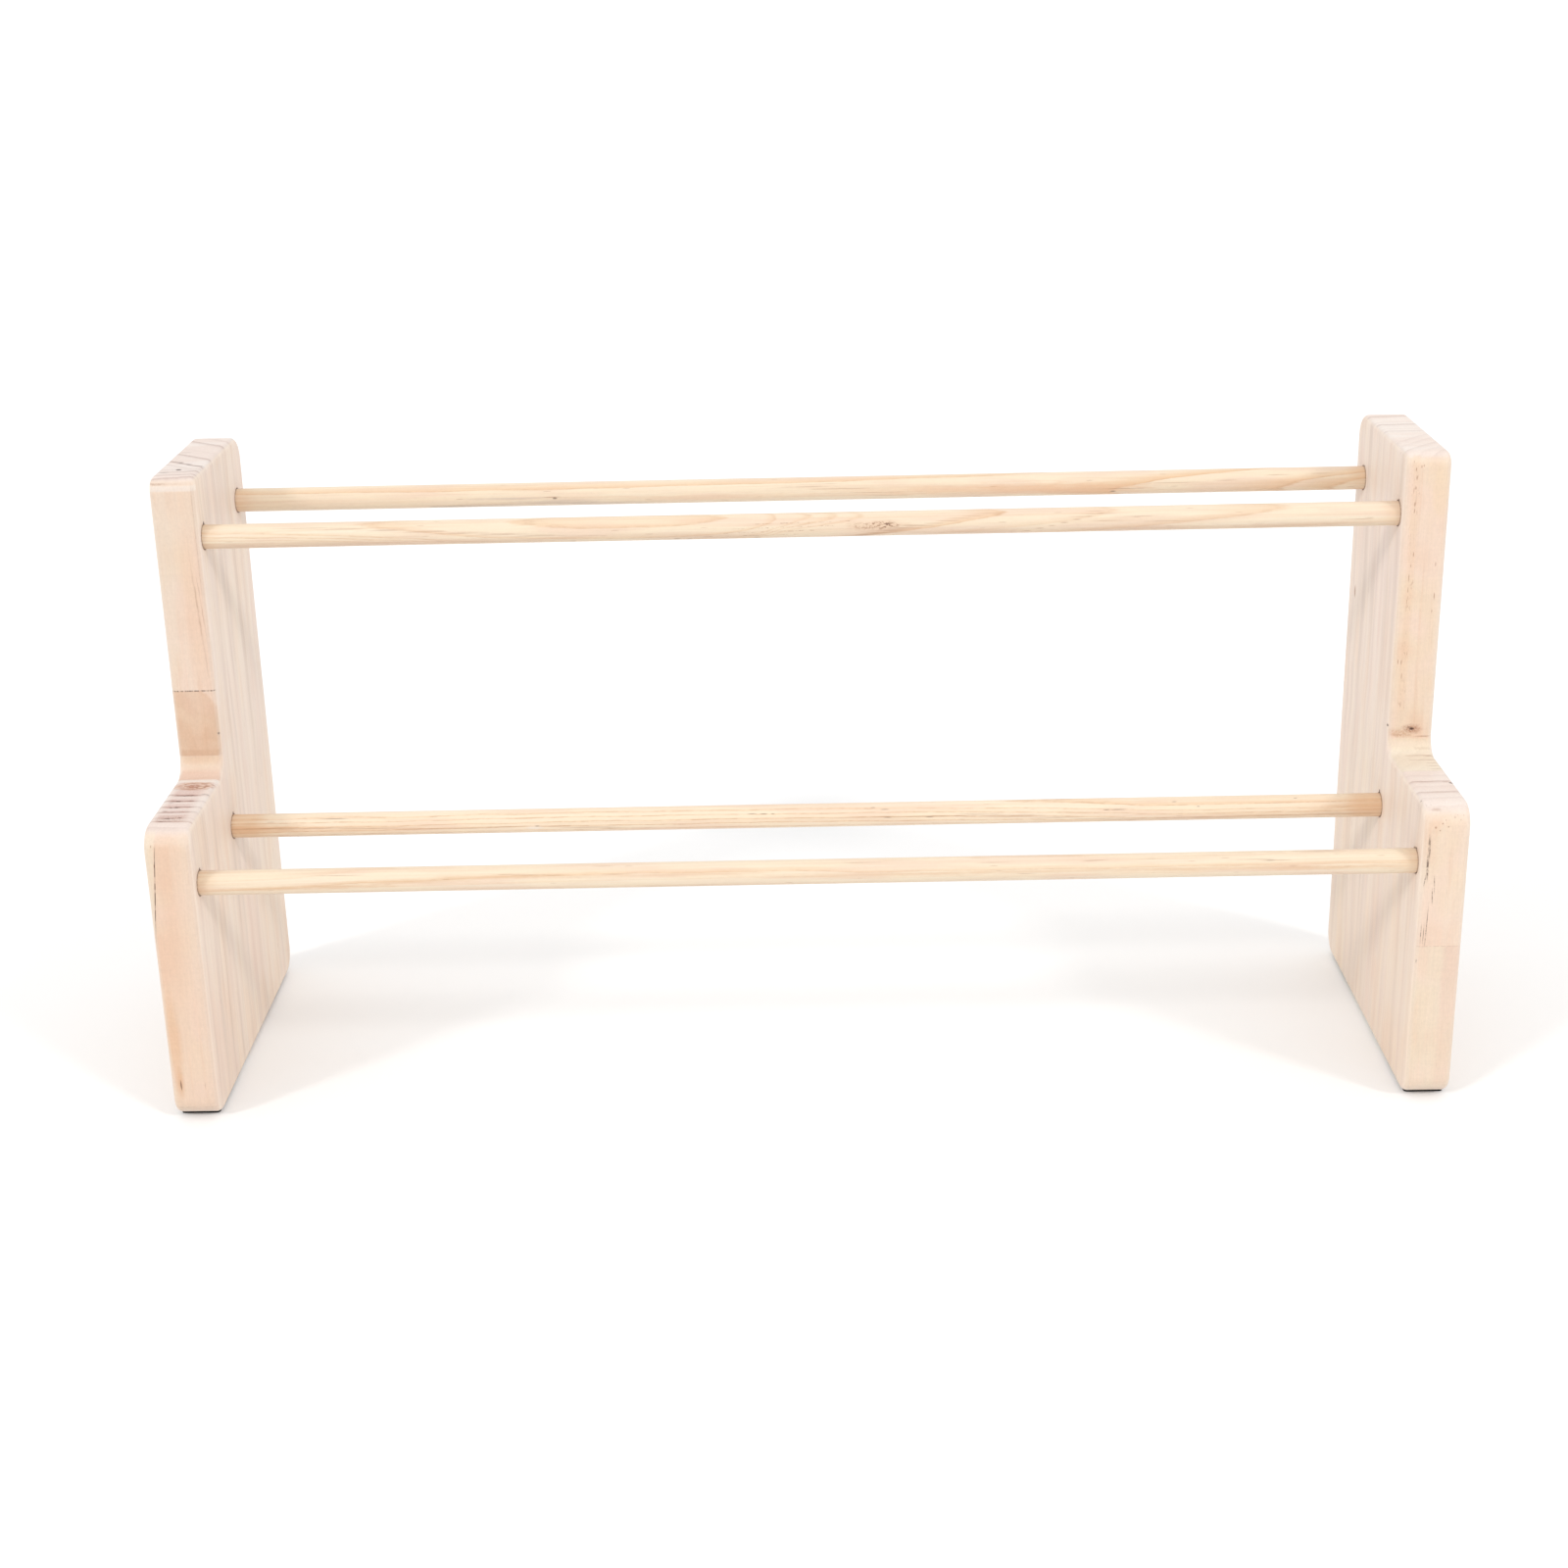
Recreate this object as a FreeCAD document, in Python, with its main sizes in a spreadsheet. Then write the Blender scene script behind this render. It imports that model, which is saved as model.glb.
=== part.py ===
import FreeCAD, Part
import os
import math

# Two-tier rack: two stepped end panels joined by four round rods.
# Frame: +X along the rods (to the right), +Y from front to back, +Z up.
# Origin: middle of the footprint, on the surface the rack stands on.
# Millimetres.

doc = FreeCAD.newDocument("two_tier_rod_rack")
V = FreeCAD.Vector

# ---------------------------------------------------------------- sizes
SIZES = [
    # overall
    ("inner_span", 390.0),             # clear distance between the two panels
    ("panel_thickness", 15.0),
    ("rack_depth", 122.0),             # front of the lower tier to the back edge
    ("panel_height", 203.0),           # wood only, without the foot pads
    ("step_height", 102.0),            # top of the lower tier, from the wood's foot
    ("upper_setback", 53.5),           # front of the upper tier behind the lower front
    # corners of the stepped outline
    ("radius_top_front", 5.0),
    ("radius_top_back", 8.0),
    ("radius_step_front", 8.0),
    ("radius_step_inner", 6.0),
    ("radius_foot_front", 7.0),
    ("radius_foot_back", 8.0),
    ("edge_round", 2.0),               # round-over along both faces of a panel
    # rods
    ("rod_diameter", 8.0),
    ("rod_end_chamfer", 0.5),
    ("socket_diameter", 8.4),
    ("socket_depth", 10.0),
    ("lower_rod_height", 81.1),        # rod axes, from the wood's foot
    ("upper_rod_height", 182.0),
    ("lower_front_setback", 7.6),      # rod axes, behind the lower front face
    ("lower_back_setback", 57.8),
    ("upper_front_setback", 59.9),
    ("upper_back_setback", 110.5),
    # screws through the panels into the rod ends
    ("screw_length", 25.0),
    ("screw_major", 3.0),
    ("screw_core", 2.1),
    ("screw_head", 5.8),
    ("screw_head_land", 0.3),
    ("screw_head_cone", 1.4),
    ("screw_shank_end", 8.0),          # plain shank, measured from the head's top
    ("screw_tip_start", 22.0),
    ("thread_pitch", 1.35),
    ("thread_turns", 10.0),
    ("recess_width", 0.7),
    ("recess_span", 3.2),
    ("recess_depth", 1.3),
    ("screw_clearance", 3.4),
    ("sink_diameter", 6.6),
    ("pilot_diameter", 3.1),
    ("pilot_depth", 20.5),
    # foot pads
    ("pad_thickness", 1.0),
    ("pad_width", 12.7),
    ("pad_length", 22.0),
    ("pad_front_inset", 6.0),          # front pads, from the lower front edge
    ("pad_back_inset", 8.0),           # back pads, from the back edge
    ("pad_side_inset", 0.7),           # from the panel's outer face
    ("pad_corner", 1.0),
]
sheet = doc.addObject("Spreadsheet::Sheet", "Sizes")
for row, (alias, value) in enumerate(SIZES, start=1):
    sheet.set("A%d" % row, alias.replace("_", " "))
    sheet.set("B%d" % row, repr(value))
    sheet.setAlias("B%d" % row, alias)
doc.recompute()
VALUE = {alias: float(sheet.get(alias)) for alias, _ in SIZES}


# ---------------------------------------------------------------- helpers
def bind(obj, prop, expression):
    obj.setExpression(prop, expression)


def new_body(name):
    body = doc.addObject("PartDesign::Body", name)
    body.Label = name
    return body


def place(obj, x="0", y="0", z="0"):
    """Bind a placement to the sheet: x, y, z are expressions in millimetres."""
    for axis, expression in (("x", x), ("y", y), ("z", z)):
        bind(obj, "Placement.Base." + axis, "(" + expression + ") * 1 mm")


def new_sketch(body, name, role, offset=None):
    """A sketch on one of the body's own origin planes, or parallel to it."""
    sketch = body.newObject("Sketcher::SketchObject", name)
    plane = [f for f in body.Origin.OriginFeatures if f.Role == role][0]
    sketch.AttachmentSupport = [(plane, "")]
    sketch.MapMode = "FlatFace"
    if offset is not None:
        bind(sketch, "AttachmentOffset.Base.z", "(" + offset + ") * 1 mm")
    return sketch


def dimension(sketch, index, expression):
    sketch.setExpression("Constraints[%d]" % index, "(" + expression + ") * 1 mm")


def add_polygon(sketch, points):
    """Closed outline of straight lines; returns the index of its first line."""
    first = sketch.GeometryCount
    count = len(points)
    for i in range(count):
        a, b = points[i], points[(i + 1) % count]
        sketch.addGeometry(Part.LineSegment(V(a[0], a[1], 0), V(b[0], b[1], 0)), False)
    import Sketcher
    for i in range(count):
        sketch.addConstraint(Sketcher.Constraint(
            "Coincident", first + i, 2, first + (i + 1) % count, 1))
        a, b = points[i], points[(i + 1) % count]
        if abs(a[1] - b[1]) < 1e-9:
            sketch.addConstraint(Sketcher.Constraint("Horizontal", first + i))
        elif abs(a[0] - b[0]) < 1e-9:
            sketch.addConstraint(Sketcher.Constraint("Vertical", first + i))
    return first


def along_x(sketch, g1, p1, g2, p2, value, expression):
    import Sketcher
    k = sketch.addConstraint(Sketcher.Constraint("DistanceX", g1, p1, g2, p2, value))
    dimension(sketch, k, expression)


def along_y(sketch, g1, p1, g2, p2, value, expression):
    import Sketcher
    k = sketch.addConstraint(Sketcher.Constraint("DistanceY", g1, p1, g2, p2, value))
    dimension(sketch, k, expression)


def add_circle(sketch, cx, cy, diameter, ex=None, ey=None, ed=None):
    """A circle whose centre and diameter are bound; a centre of None is the origin."""
    import Sketcher
    g = sketch.addGeometry(Part.Circle(V(cx, cy, 0), V(0, 0, 1), diameter / 2.0), False)
    k = sketch.addConstraint(Sketcher.Constraint("Diameter", g, diameter))
    dimension(sketch, k, ed)
    if ex is None:
        sketch.addConstraint(Sketcher.Constraint("Coincident", g, 3, -1, 1))
    else:
        along_x(sketch, -1, 1, g, 3, cx, ex)
        along_y(sketch, -1, 1, g, 3, cy, ey)
    return g


def solid_volume(feature, text):
    """Recompute, and stop if the feature failed."""
    doc.recompute()
    shape = feature.Shape
    if "Invalid" in feature.State or "Error" in feature.State \
            or shape.isNull() or not shape.isValid():
        raise RuntimeError("feature failed: " + text)
    return shape.Volume


def edge_names(shape, test):
    return ["Edge%d" % (i + 1) for i, e in enumerate(shape.Edges) if test(e)]


def add_fillet(body, base, names, expression, name):
    fillet = body.newObject("PartDesign::Fillet", name)
    fillet.Base = (base, names)
    bind(fillet, "Radius", "(" + expression + ") * 1 mm")
    return fillet


# Rod axes in a panel's own frame: (behind the lower front face, above the wood's foot)
RODS = [
    ("lower_front_rod", "Sizes.lower_front_setback", "Sizes.lower_rod_height",
     "lower_front_setback", "lower_rod_height"),
    ("lower_back_rod", "Sizes.lower_back_setback", "Sizes.lower_rod_height",
     "lower_back_setback", "lower_rod_height"),
    ("upper_front_rod", "Sizes.upper_front_setback", "Sizes.upper_rod_height",
     "upper_front_setback", "upper_rod_height"),
    ("upper_back_rod", "Sizes.upper_back_setback", "Sizes.upper_rod_height",
     "upper_back_setback", "upper_rod_height"),
]
FRONT = "-Sizes.rack_depth / 2"         # front face of the lower tier
nodes = []


# ---------------------------------------------------------------- end panels
def make_panel(name, side):
    """A stepped board. Its own frame: x = 0 on the inner face, y = 0 on the
    lower front face, z = 0 at the wood's foot. side is -1 on the left."""
    body = new_body(name)
    depth, height = VALUE["rack_depth"], VALUE["panel_height"]
    step, back = VALUE["step_height"], VALUE["upper_setback"]
    thick = VALUE["panel_thickness"]

    outline = new_sketch(body, name + "_outline", "YZ_Plane")
    f = add_polygon(outline, [(0, 0), (depth, 0), (depth, height),
                              (back, height), (back, step), (0, step)])
    import Sketcher
    outline.addConstraint(Sketcher.Constraint("Coincident", f, 1, -1, 1))
    along_x(outline, f, 1, f, 2, depth, "Sizes.rack_depth")
    along_y(outline, f + 1, 1, f + 1, 2, height, "Sizes.panel_height")
    along_x(outline, f + 4, 2, f + 4, 1, back, "Sizes.upper_setback")
    along_y(outline, f + 5, 2, f + 5, 1, step, "Sizes.step_height")
    pad = body.newObject("PartDesign::Pad", name + "_board")
    pad.Profile = outline
    bind(pad, "Length", "Sizes.panel_thickness")
    pad.Reversed = side < 0
    solid_volume(pad, name + " board")

    # the corners of the outline, rounded through the thickness
    corners = [
        ("radius_foot_front", [(0, 0)]),
        ("radius_foot_back", [(depth, 0)]),
        ("radius_top_back", [(depth, height)]),
        ("radius_top_front", [(back, height)]),
        ("radius_step_inner", [(back, step)]),
        ("radius_step_front", [(0, step)]),
    ]
    last = pad
    for alias, spots in corners:
        def is_corner(edge, spots=spots):
            a, b = edge.Vertexes[0].Point, edge.Vertexes[-1].Point
            if abs(a.y - b.y) > 1e-6 or abs(a.z - b.z) > 1e-6:
                return False
            return any(abs(a.y - y) < 1e-4 and abs(a.z - z) < 1e-4 for y, z in spots)
        names = edge_names(last.Shape, is_corner)
        if len(names) != len(spots):
            raise RuntimeError("corner edge not found: " + alias)
        last = add_fillet(body, last, names, "Sizes." + alias, name + "_" + alias)
        solid_volume(last, name + " " + alias)

    # the round-over along the rims of both faces
    def is_rim(edge):
        box = edge.BoundBox
        if box.XLength > 1e-4:
            return False
        return abs(box.XMin) < 1e-4 or abs(abs(box.XMin) - thick) < 1e-4
    rims = edge_names(last.Shape, is_rim)
    before = last.Shape.Volume
    last = add_fillet(body, last, rims, "Sizes.edge_round", name + "_edge_round")
    if solid_volume(last, name + " edge round") >= before:
        raise RuntimeError("the round-over removed nothing")

    # blind sockets for the rod ends, cut from the inner face
    sockets = new_sketch(body, name + "_socket_circles", "YZ_Plane")
    for _, ey, ez, ay, az in RODS:
        add_circle(sockets, VALUE[ay], VALUE[az], VALUE["socket_diameter"],
                   ey, ez, "Sizes.socket_diameter")
    doc.recompute()
    before = last.Shape.Volume
    cut = body.newObject("PartDesign::Pocket", name + "_sockets")
    cut.Profile = sockets
    bind(cut, "Length", "Sizes.socket_depth")
    cut.Reversed = side > 0
    after = solid_volume(cut, name + " sockets")
    expected = 4 * math.pi * (VALUE["socket_diameter"] / 2) ** 2 * VALUE["socket_depth"]
    if abs((before - after) - expected) > 0.01 * expected:
        raise RuntimeError("sockets cut %.1f mm3, expected %.1f" % (before - after, expected))
    last = cut

    # countersunk screw holes, from the outer face to the socket bottoms
    centres = new_sketch(body, name + "_screw_circles", "YZ_Plane",
                         ("-" if side < 0 else "") + "Sizes.panel_thickness")
    for _, ey, ez, ay, az in RODS:
        add_circle(centres, VALUE[ay], VALUE[az], VALUE["screw_clearance"],
                   ey, ez, "Sizes.screw_clearance")
    doc.recompute()
    before = last.Shape.Volume
    hole = body.newObject("PartDesign::Hole", name + "_screw_holes")
    hole.Profile = centres
    hole.Threaded = False
    hole.ThreadType = 0
    hole.DepthType = 0
    hole.DrillPoint = 0
    hole.HoleCutType = "Countersink"
    hole.HoleCutCustomValues = True
    hole.HoleCutCountersinkAngle = 90.0
    bind(hole, "Diameter", "Sizes.screw_clearance * 1 mm")
    bind(hole, "Depth", "(Sizes.panel_thickness - Sizes.socket_depth + 0.5) * 1 mm")
    bind(hole, "HoleCutDiameter", "Sizes.sink_diameter * 1 mm")
    hole.Reversed = side < 0
    after = solid_volume(hole, name + " screw holes")
    web = VALUE["panel_thickness"] - VALUE["socket_depth"]
    r1, r2 = VALUE["screw_clearance"] / 2, VALUE["sink_diameter"] / 2
    cone = r2 - r1
    expected = 4 * (math.pi * r1 * r1 * (web - cone)
                    + math.pi * cone / 3 * (r1 * r1 + r1 * r2 + r2 * r2))
    if abs((before - after) - expected) > 0.03 * expected:
        raise RuntimeError("screw holes cut %.2f mm3, expected %.2f" % (before - after, expected))

    place(body, ("-" if side < 0 else "") + "Sizes.inner_span / 2", FRONT,
          "Sizes.pad_thickness")
    nodes.append(body)
    return body


make_panel("left_side_panel", -1)
make_panel("right_side_panel", 1)


# ---------------------------------------------------------------- rods
def make_rod(name, ey, ez):
    """A round rod. Its own frame: x = 0 at its left end, on its axis."""
    body = new_body(name)
    length_text = "Sizes.inner_span + 2 * Sizes.socket_depth"
    length = VALUE["inner_span"] + 2 * VALUE["socket_depth"]
    section = new_sketch(body, name + "_section", "YZ_Plane")
    add_circle(section, 0, 0, VALUE["rod_diameter"], ed="Sizes.rod_diameter")
    pad = body.newObject("PartDesign::Pad", name + "_stick")
    pad.Profile = section
    bind(pad, "Length", "(" + length_text + ") * 1 mm")
    solid_volume(pad, name + " stick")

    ends = edge_names(pad.Shape, lambda e: e.BoundBox.XLength < 1e-4)
    chamfer = body.newObject("PartDesign::Chamfer", name + "_end_chamfer")
    chamfer.Base = (pad, ends)
    bind(chamfer, "Size", "Sizes.rod_end_chamfer * 1 mm")
    before = solid_volume(chamfer, name + " chamfer")

    # pilot bores for the screws, one in each end
    last = chamfer
    for tag, offset, reverse in (("left", None, True), ("right", length_text, False)):
        circle = new_sketch(body, name + "_pilot_" + tag, "YZ_Plane", offset)
        add_circle(circle, 0, 0, VALUE["pilot_diameter"], ed="Sizes.pilot_diameter")
        doc.recompute()
        bore = body.newObject("PartDesign::Pocket", name + "_bore_" + tag)
        bore.Profile = circle
        bind(bore, "Length", "Sizes.pilot_depth")
        bore.Reversed = reverse
        after = solid_volume(bore, name + " bore " + tag)
        expected = math.pi * (VALUE["pilot_diameter"] / 2) ** 2 * VALUE["pilot_depth"]
        if abs((before - after) - expected) > 0.01 * expected:
            raise RuntimeError("pilot bore cut %.2f mm3, expected %.2f"
                               % (before - after, expected))
        before = after
        last = bore
    place(body, "-(" + length_text + ") / 2", FRONT + " + " + ey,
          "Sizes.pad_thickness + " + ez)
    nodes.append(body)
    return body


for rod_name, ey, ez, _, _ in RODS:
    make_rod(rod_name, ey, ez)


# ---------------------------------------------------------------- screws
def make_screw():
    """A countersunk wood screw along +X, with its head's top at x = 0."""
    body = new_body("rod_screw_master")
    L, rm, rc = VALUE["screw_length"], VALUE["screw_major"] / 2, VALUE["screw_core"] / 2
    rh, land, cone = VALUE["screw_head"] / 2, VALUE["screw_head_land"], VALUE["screw_head_cone"]
    tip = VALUE["screw_tip_start"]
    half = new_sketch(body, "screw_half_section", "XY_Plane")
    pts = [(0, 0), (0, rh), (land, rh), (land + cone, rm), (tip, rm), (L, 0)]
    f = add_polygon(half, pts)
    import Sketcher
    half.addConstraint(Sketcher.Constraint("Coincident", f, 1, -1, 1))
    along_y(half, f, 1, f, 2, rh, "Sizes.screw_head / 2")
    along_x(half, f + 1, 1, f + 1, 2, land, "Sizes.screw_head_land")
    along_x(half, f + 2, 1, f + 2, 2, cone, "Sizes.screw_head_cone")
    along_y(half, f + 5, 2, f + 3, 1, rm, "Sizes.screw_major / 2")
    along_x(half, f, 1, f + 3, 2, tip, "Sizes.screw_tip_start")
    along_x(half, f, 1, f + 4, 2, L, "Sizes.screw_length")
    turned = body.newObject("PartDesign::Revolution", "screw_blank")
    turned.Profile = half
    turned.ReferenceAxis = (half, ["H_Axis"])
    turned.Angle = 360.0
    before = solid_volume(turned, "screw blank")

    # one thread furrow, repeated along the threaded length
    furrow = new_sketch(body, "screw_furrow", "XY_Plane")
    start, pitch = VALUE["screw_shank_end"], VALUE["thread_pitch"]
    wide = pitch * 0.8
    g = add_polygon(furrow, [(start, rm + 0.4), (start + wide, rm + 0.4),
                             (start + wide / 2, rc)])
    along_x(furrow, -1, 1, g, 1, start, "Sizes.screw_shank_end")
    along_x(furrow, g, 1, g, 2, wide, "Sizes.thread_pitch * 0.8")
    along_x(furrow, g, 1, g + 1, 2, wide / 2, "Sizes.thread_pitch * 0.4")
    along_y(furrow, -1, 1, g, 1, rm + 0.4, "Sizes.screw_major / 2 + 0.4")
    along_y(furrow, -1, 1, g + 1, 2, rc, "Sizes.screw_core / 2")
    groove = body.newObject("PartDesign::Groove", "screw_thread_furrow")
    groove.Profile = furrow
    groove.ReferenceAxis = (furrow, ["H_Axis"])
    groove.Angle = 360.0
    after = solid_volume(groove, "thread furrow")
    if after >= before:
        raise RuntimeError("the thread furrow cut nothing")
    one = before - after
    rows = body.newObject("PartDesign::LinearPattern", "screw_thread")
    rows.Originals = [groove]
    axis = [o for o in body.Origin.OriginFeatures if o.Role == "X_Axis"][0]
    rows.Direction = (axis, [""])
    bind(rows, "Length", "Sizes.thread_pitch * (Sizes.thread_turns - 1) * 1 mm")
    bind(rows, "Occurrences", "Sizes.thread_turns")
    body.Tip = rows
    threaded = solid_volume(rows, "thread")
    if abs((before - threaded) - one * VALUE["thread_turns"]) > 0.02 * one * VALUE["thread_turns"]:
        raise RuntimeError("thread cut %.3f, one furrow %.3f" % (before - threaded, one))

    # the cross recess: two slots at right angles
    last = rows
    for tag, first in (("level", True), ("upright", False)):
        slot = new_sketch(body, "screw_recess_" + tag, "YZ_Plane")
        a = VALUE["recess_span"] / 2 if first else VALUE["recess_width"] / 2
        b = VALUE["recess_width"] / 2 if first else VALUE["recess_span"] / 2
        ea = "Sizes.recess_span" if first else "Sizes.recess_width"
        eb = "Sizes.recess_width" if first else "Sizes.recess_span"
        g = add_polygon(slot, [(-a, -b), (a, -b), (a, b), (-a, b)])
        slot.addConstraint(Sketcher.Constraint("Symmetric", g, 1, g + 1, 2, -1, 1))
        along_x(slot, g, 1, g, 2, 2 * a, ea)
        along_y(slot, g + 1, 1, g + 1, 2, 2 * b, eb)
        doc.recompute()
        was = last.Shape.Volume
        cut = body.newObject("PartDesign::Pocket", "screw_recess_cut_" + tag)
        cut.Profile = slot
        bind(cut, "Length", "Sizes.recess_depth")
        cut.Reversed = True
        body.Tip = cut
        if solid_volume(cut, "recess " + tag) >= was - 0.1:
            raise RuntimeError("the recess cut nothing")
        last = cut
    return body


screw = make_screw()


def make_screw_group(name, side):
    """Four screws, one on each rod's axis, heads in the panel's outer face."""
    links = []
    for rod_name, ey, ez, _, _ in RODS:
        link = doc.addObject("App::Link", name + "_" + rod_name)
        link.LinkedObject = screw
        link.LinkTransform = False
        link.Placement = FreeCAD.Placement(
            V(0, 0, 0), FreeCAD.Rotation(V(0, 0, 1), 180.0 if side > 0 else 0.0))
        x = ("" if side > 0 else "-") + "(Sizes.inner_span / 2 + Sizes.panel_thickness)"
        inset = ("-" if side > 0 else "+") + " ((Sizes.sink_diameter - Sizes.screw_head) / 2 - Sizes.screw_head_land)"
        place(link, x + " " + inset, FRONT + " + " + ey, "Sizes.pad_thickness + " + ez)
        links.append(link)
    group = doc.addObject("Part::Compound", name)
    group.Label = name
    group.Links = links
    doc.recompute()
    nodes.append(group)
    return group


make_screw_group("left_rod_screws", -1)
make_screw_group("right_rod_screws", 1)


# ---------------------------------------------------------------- foot pads
def make_pad(name, side, at_front):
    """A thin flat pad under a panel. Its own frame: centred on its length and
    width, with its lower face at z = 0."""
    body = new_body(name)
    a, b = VALUE["pad_width"] / 2, VALUE["pad_length"] / 2
    plan = new_sketch(body, name + "_plan", "XY_Plane")
    g = add_polygon(plan, [(-a, -b), (a, -b), (a, b), (-a, b)])
    import Sketcher
    plan.addConstraint(Sketcher.Constraint("Symmetric", g, 1, g + 1, 2, -1, 1))
    along_x(plan, g, 1, g, 2, 2 * a, "Sizes.pad_width")
    along_y(plan, g + 1, 1, g + 1, 2, 2 * b, "Sizes.pad_length")
    slab = body.newObject("PartDesign::Pad", name + "_slab")
    slab.Profile = plan
    bind(slab, "Length", "Sizes.pad_thickness")
    solid_volume(slab, name)
    uprights = edge_names(slab.Shape, lambda e: e.BoundBox.ZLength > 0.5)
    rounded = add_fillet(body, slab, uprights, "Sizes.pad_corner", name + "_corners")
    solid_volume(rounded, name + " corners")
    x = "(Sizes.inner_span / 2 + Sizes.panel_thickness - Sizes.pad_side_inset - Sizes.pad_width / 2)"
    inset = "Sizes.pad_front_inset" if at_front else "Sizes.pad_back_inset"
    y = "(Sizes.rack_depth / 2 - " + inset + " - Sizes.pad_length / 2)"
    place(body, ("" if side > 0 else "-") + x, ("-" if at_front else "") + y, "0")
    nodes.append(body)
    return body


make_pad("foot_pad_front_left", -1, True)
make_pad("foot_pad_front_right", 1, True)
make_pad("foot_pad_back_left", -1, False)
make_pad("foot_pad_back_right", 1, False)

# ---------------------------------------------------------------- check and write
doc.recompute()
for obj in doc.Objects:
    if "Invalid" in obj.State or "Error" in obj.State:
        raise RuntimeError("object failed: %s %s" % (obj.Name, obj.State))
os.makedirs("parts", exist_ok=True)
for node in nodes:
    shape = node.Shape
    if shape.isNull() or not shape.isValid():
        raise RuntimeError("bad shape: " + node.Label)
    if not shape.Solids:
        raise RuntimeError("no solid: " + node.Label)
    shape.exportStep(os.path.join("parts", node.Label + ".step"))
    box = shape.BoundBox
    print("%-22s solids %d volume %10.2f  x %.2f..%.2f  y %.2f..%.2f  z %.2f..%.2f" % (
        node.Label, len(shape.Solids), shape.Volume, box.XMin, box.XMax,
        box.YMin, box.YMax, box.ZMin, box.ZMax))
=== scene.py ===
import bpy, bmesh, math, random
from mathutils import Vector, Matrix


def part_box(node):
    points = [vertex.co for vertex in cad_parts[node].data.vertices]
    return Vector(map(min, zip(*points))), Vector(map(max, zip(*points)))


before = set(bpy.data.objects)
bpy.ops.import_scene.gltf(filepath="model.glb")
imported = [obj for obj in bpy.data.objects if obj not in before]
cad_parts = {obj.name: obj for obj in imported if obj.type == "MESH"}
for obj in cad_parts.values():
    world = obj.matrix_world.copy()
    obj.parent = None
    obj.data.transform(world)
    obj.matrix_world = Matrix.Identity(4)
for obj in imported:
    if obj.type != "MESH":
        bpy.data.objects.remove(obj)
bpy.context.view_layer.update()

BODY = "root"
MM = 0.001


# ------------------------------------------------------------------ colours
def lin(c):
    c = c / 255.0
    return c / 12.92 if c <= 0.04045 else ((c + 0.055) / 1.055) ** 2.4


def rgb(r, g, b, k=1.0):
    return (lin(r) * k, lin(g) * k, lin(b) * k, 1.0)


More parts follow.
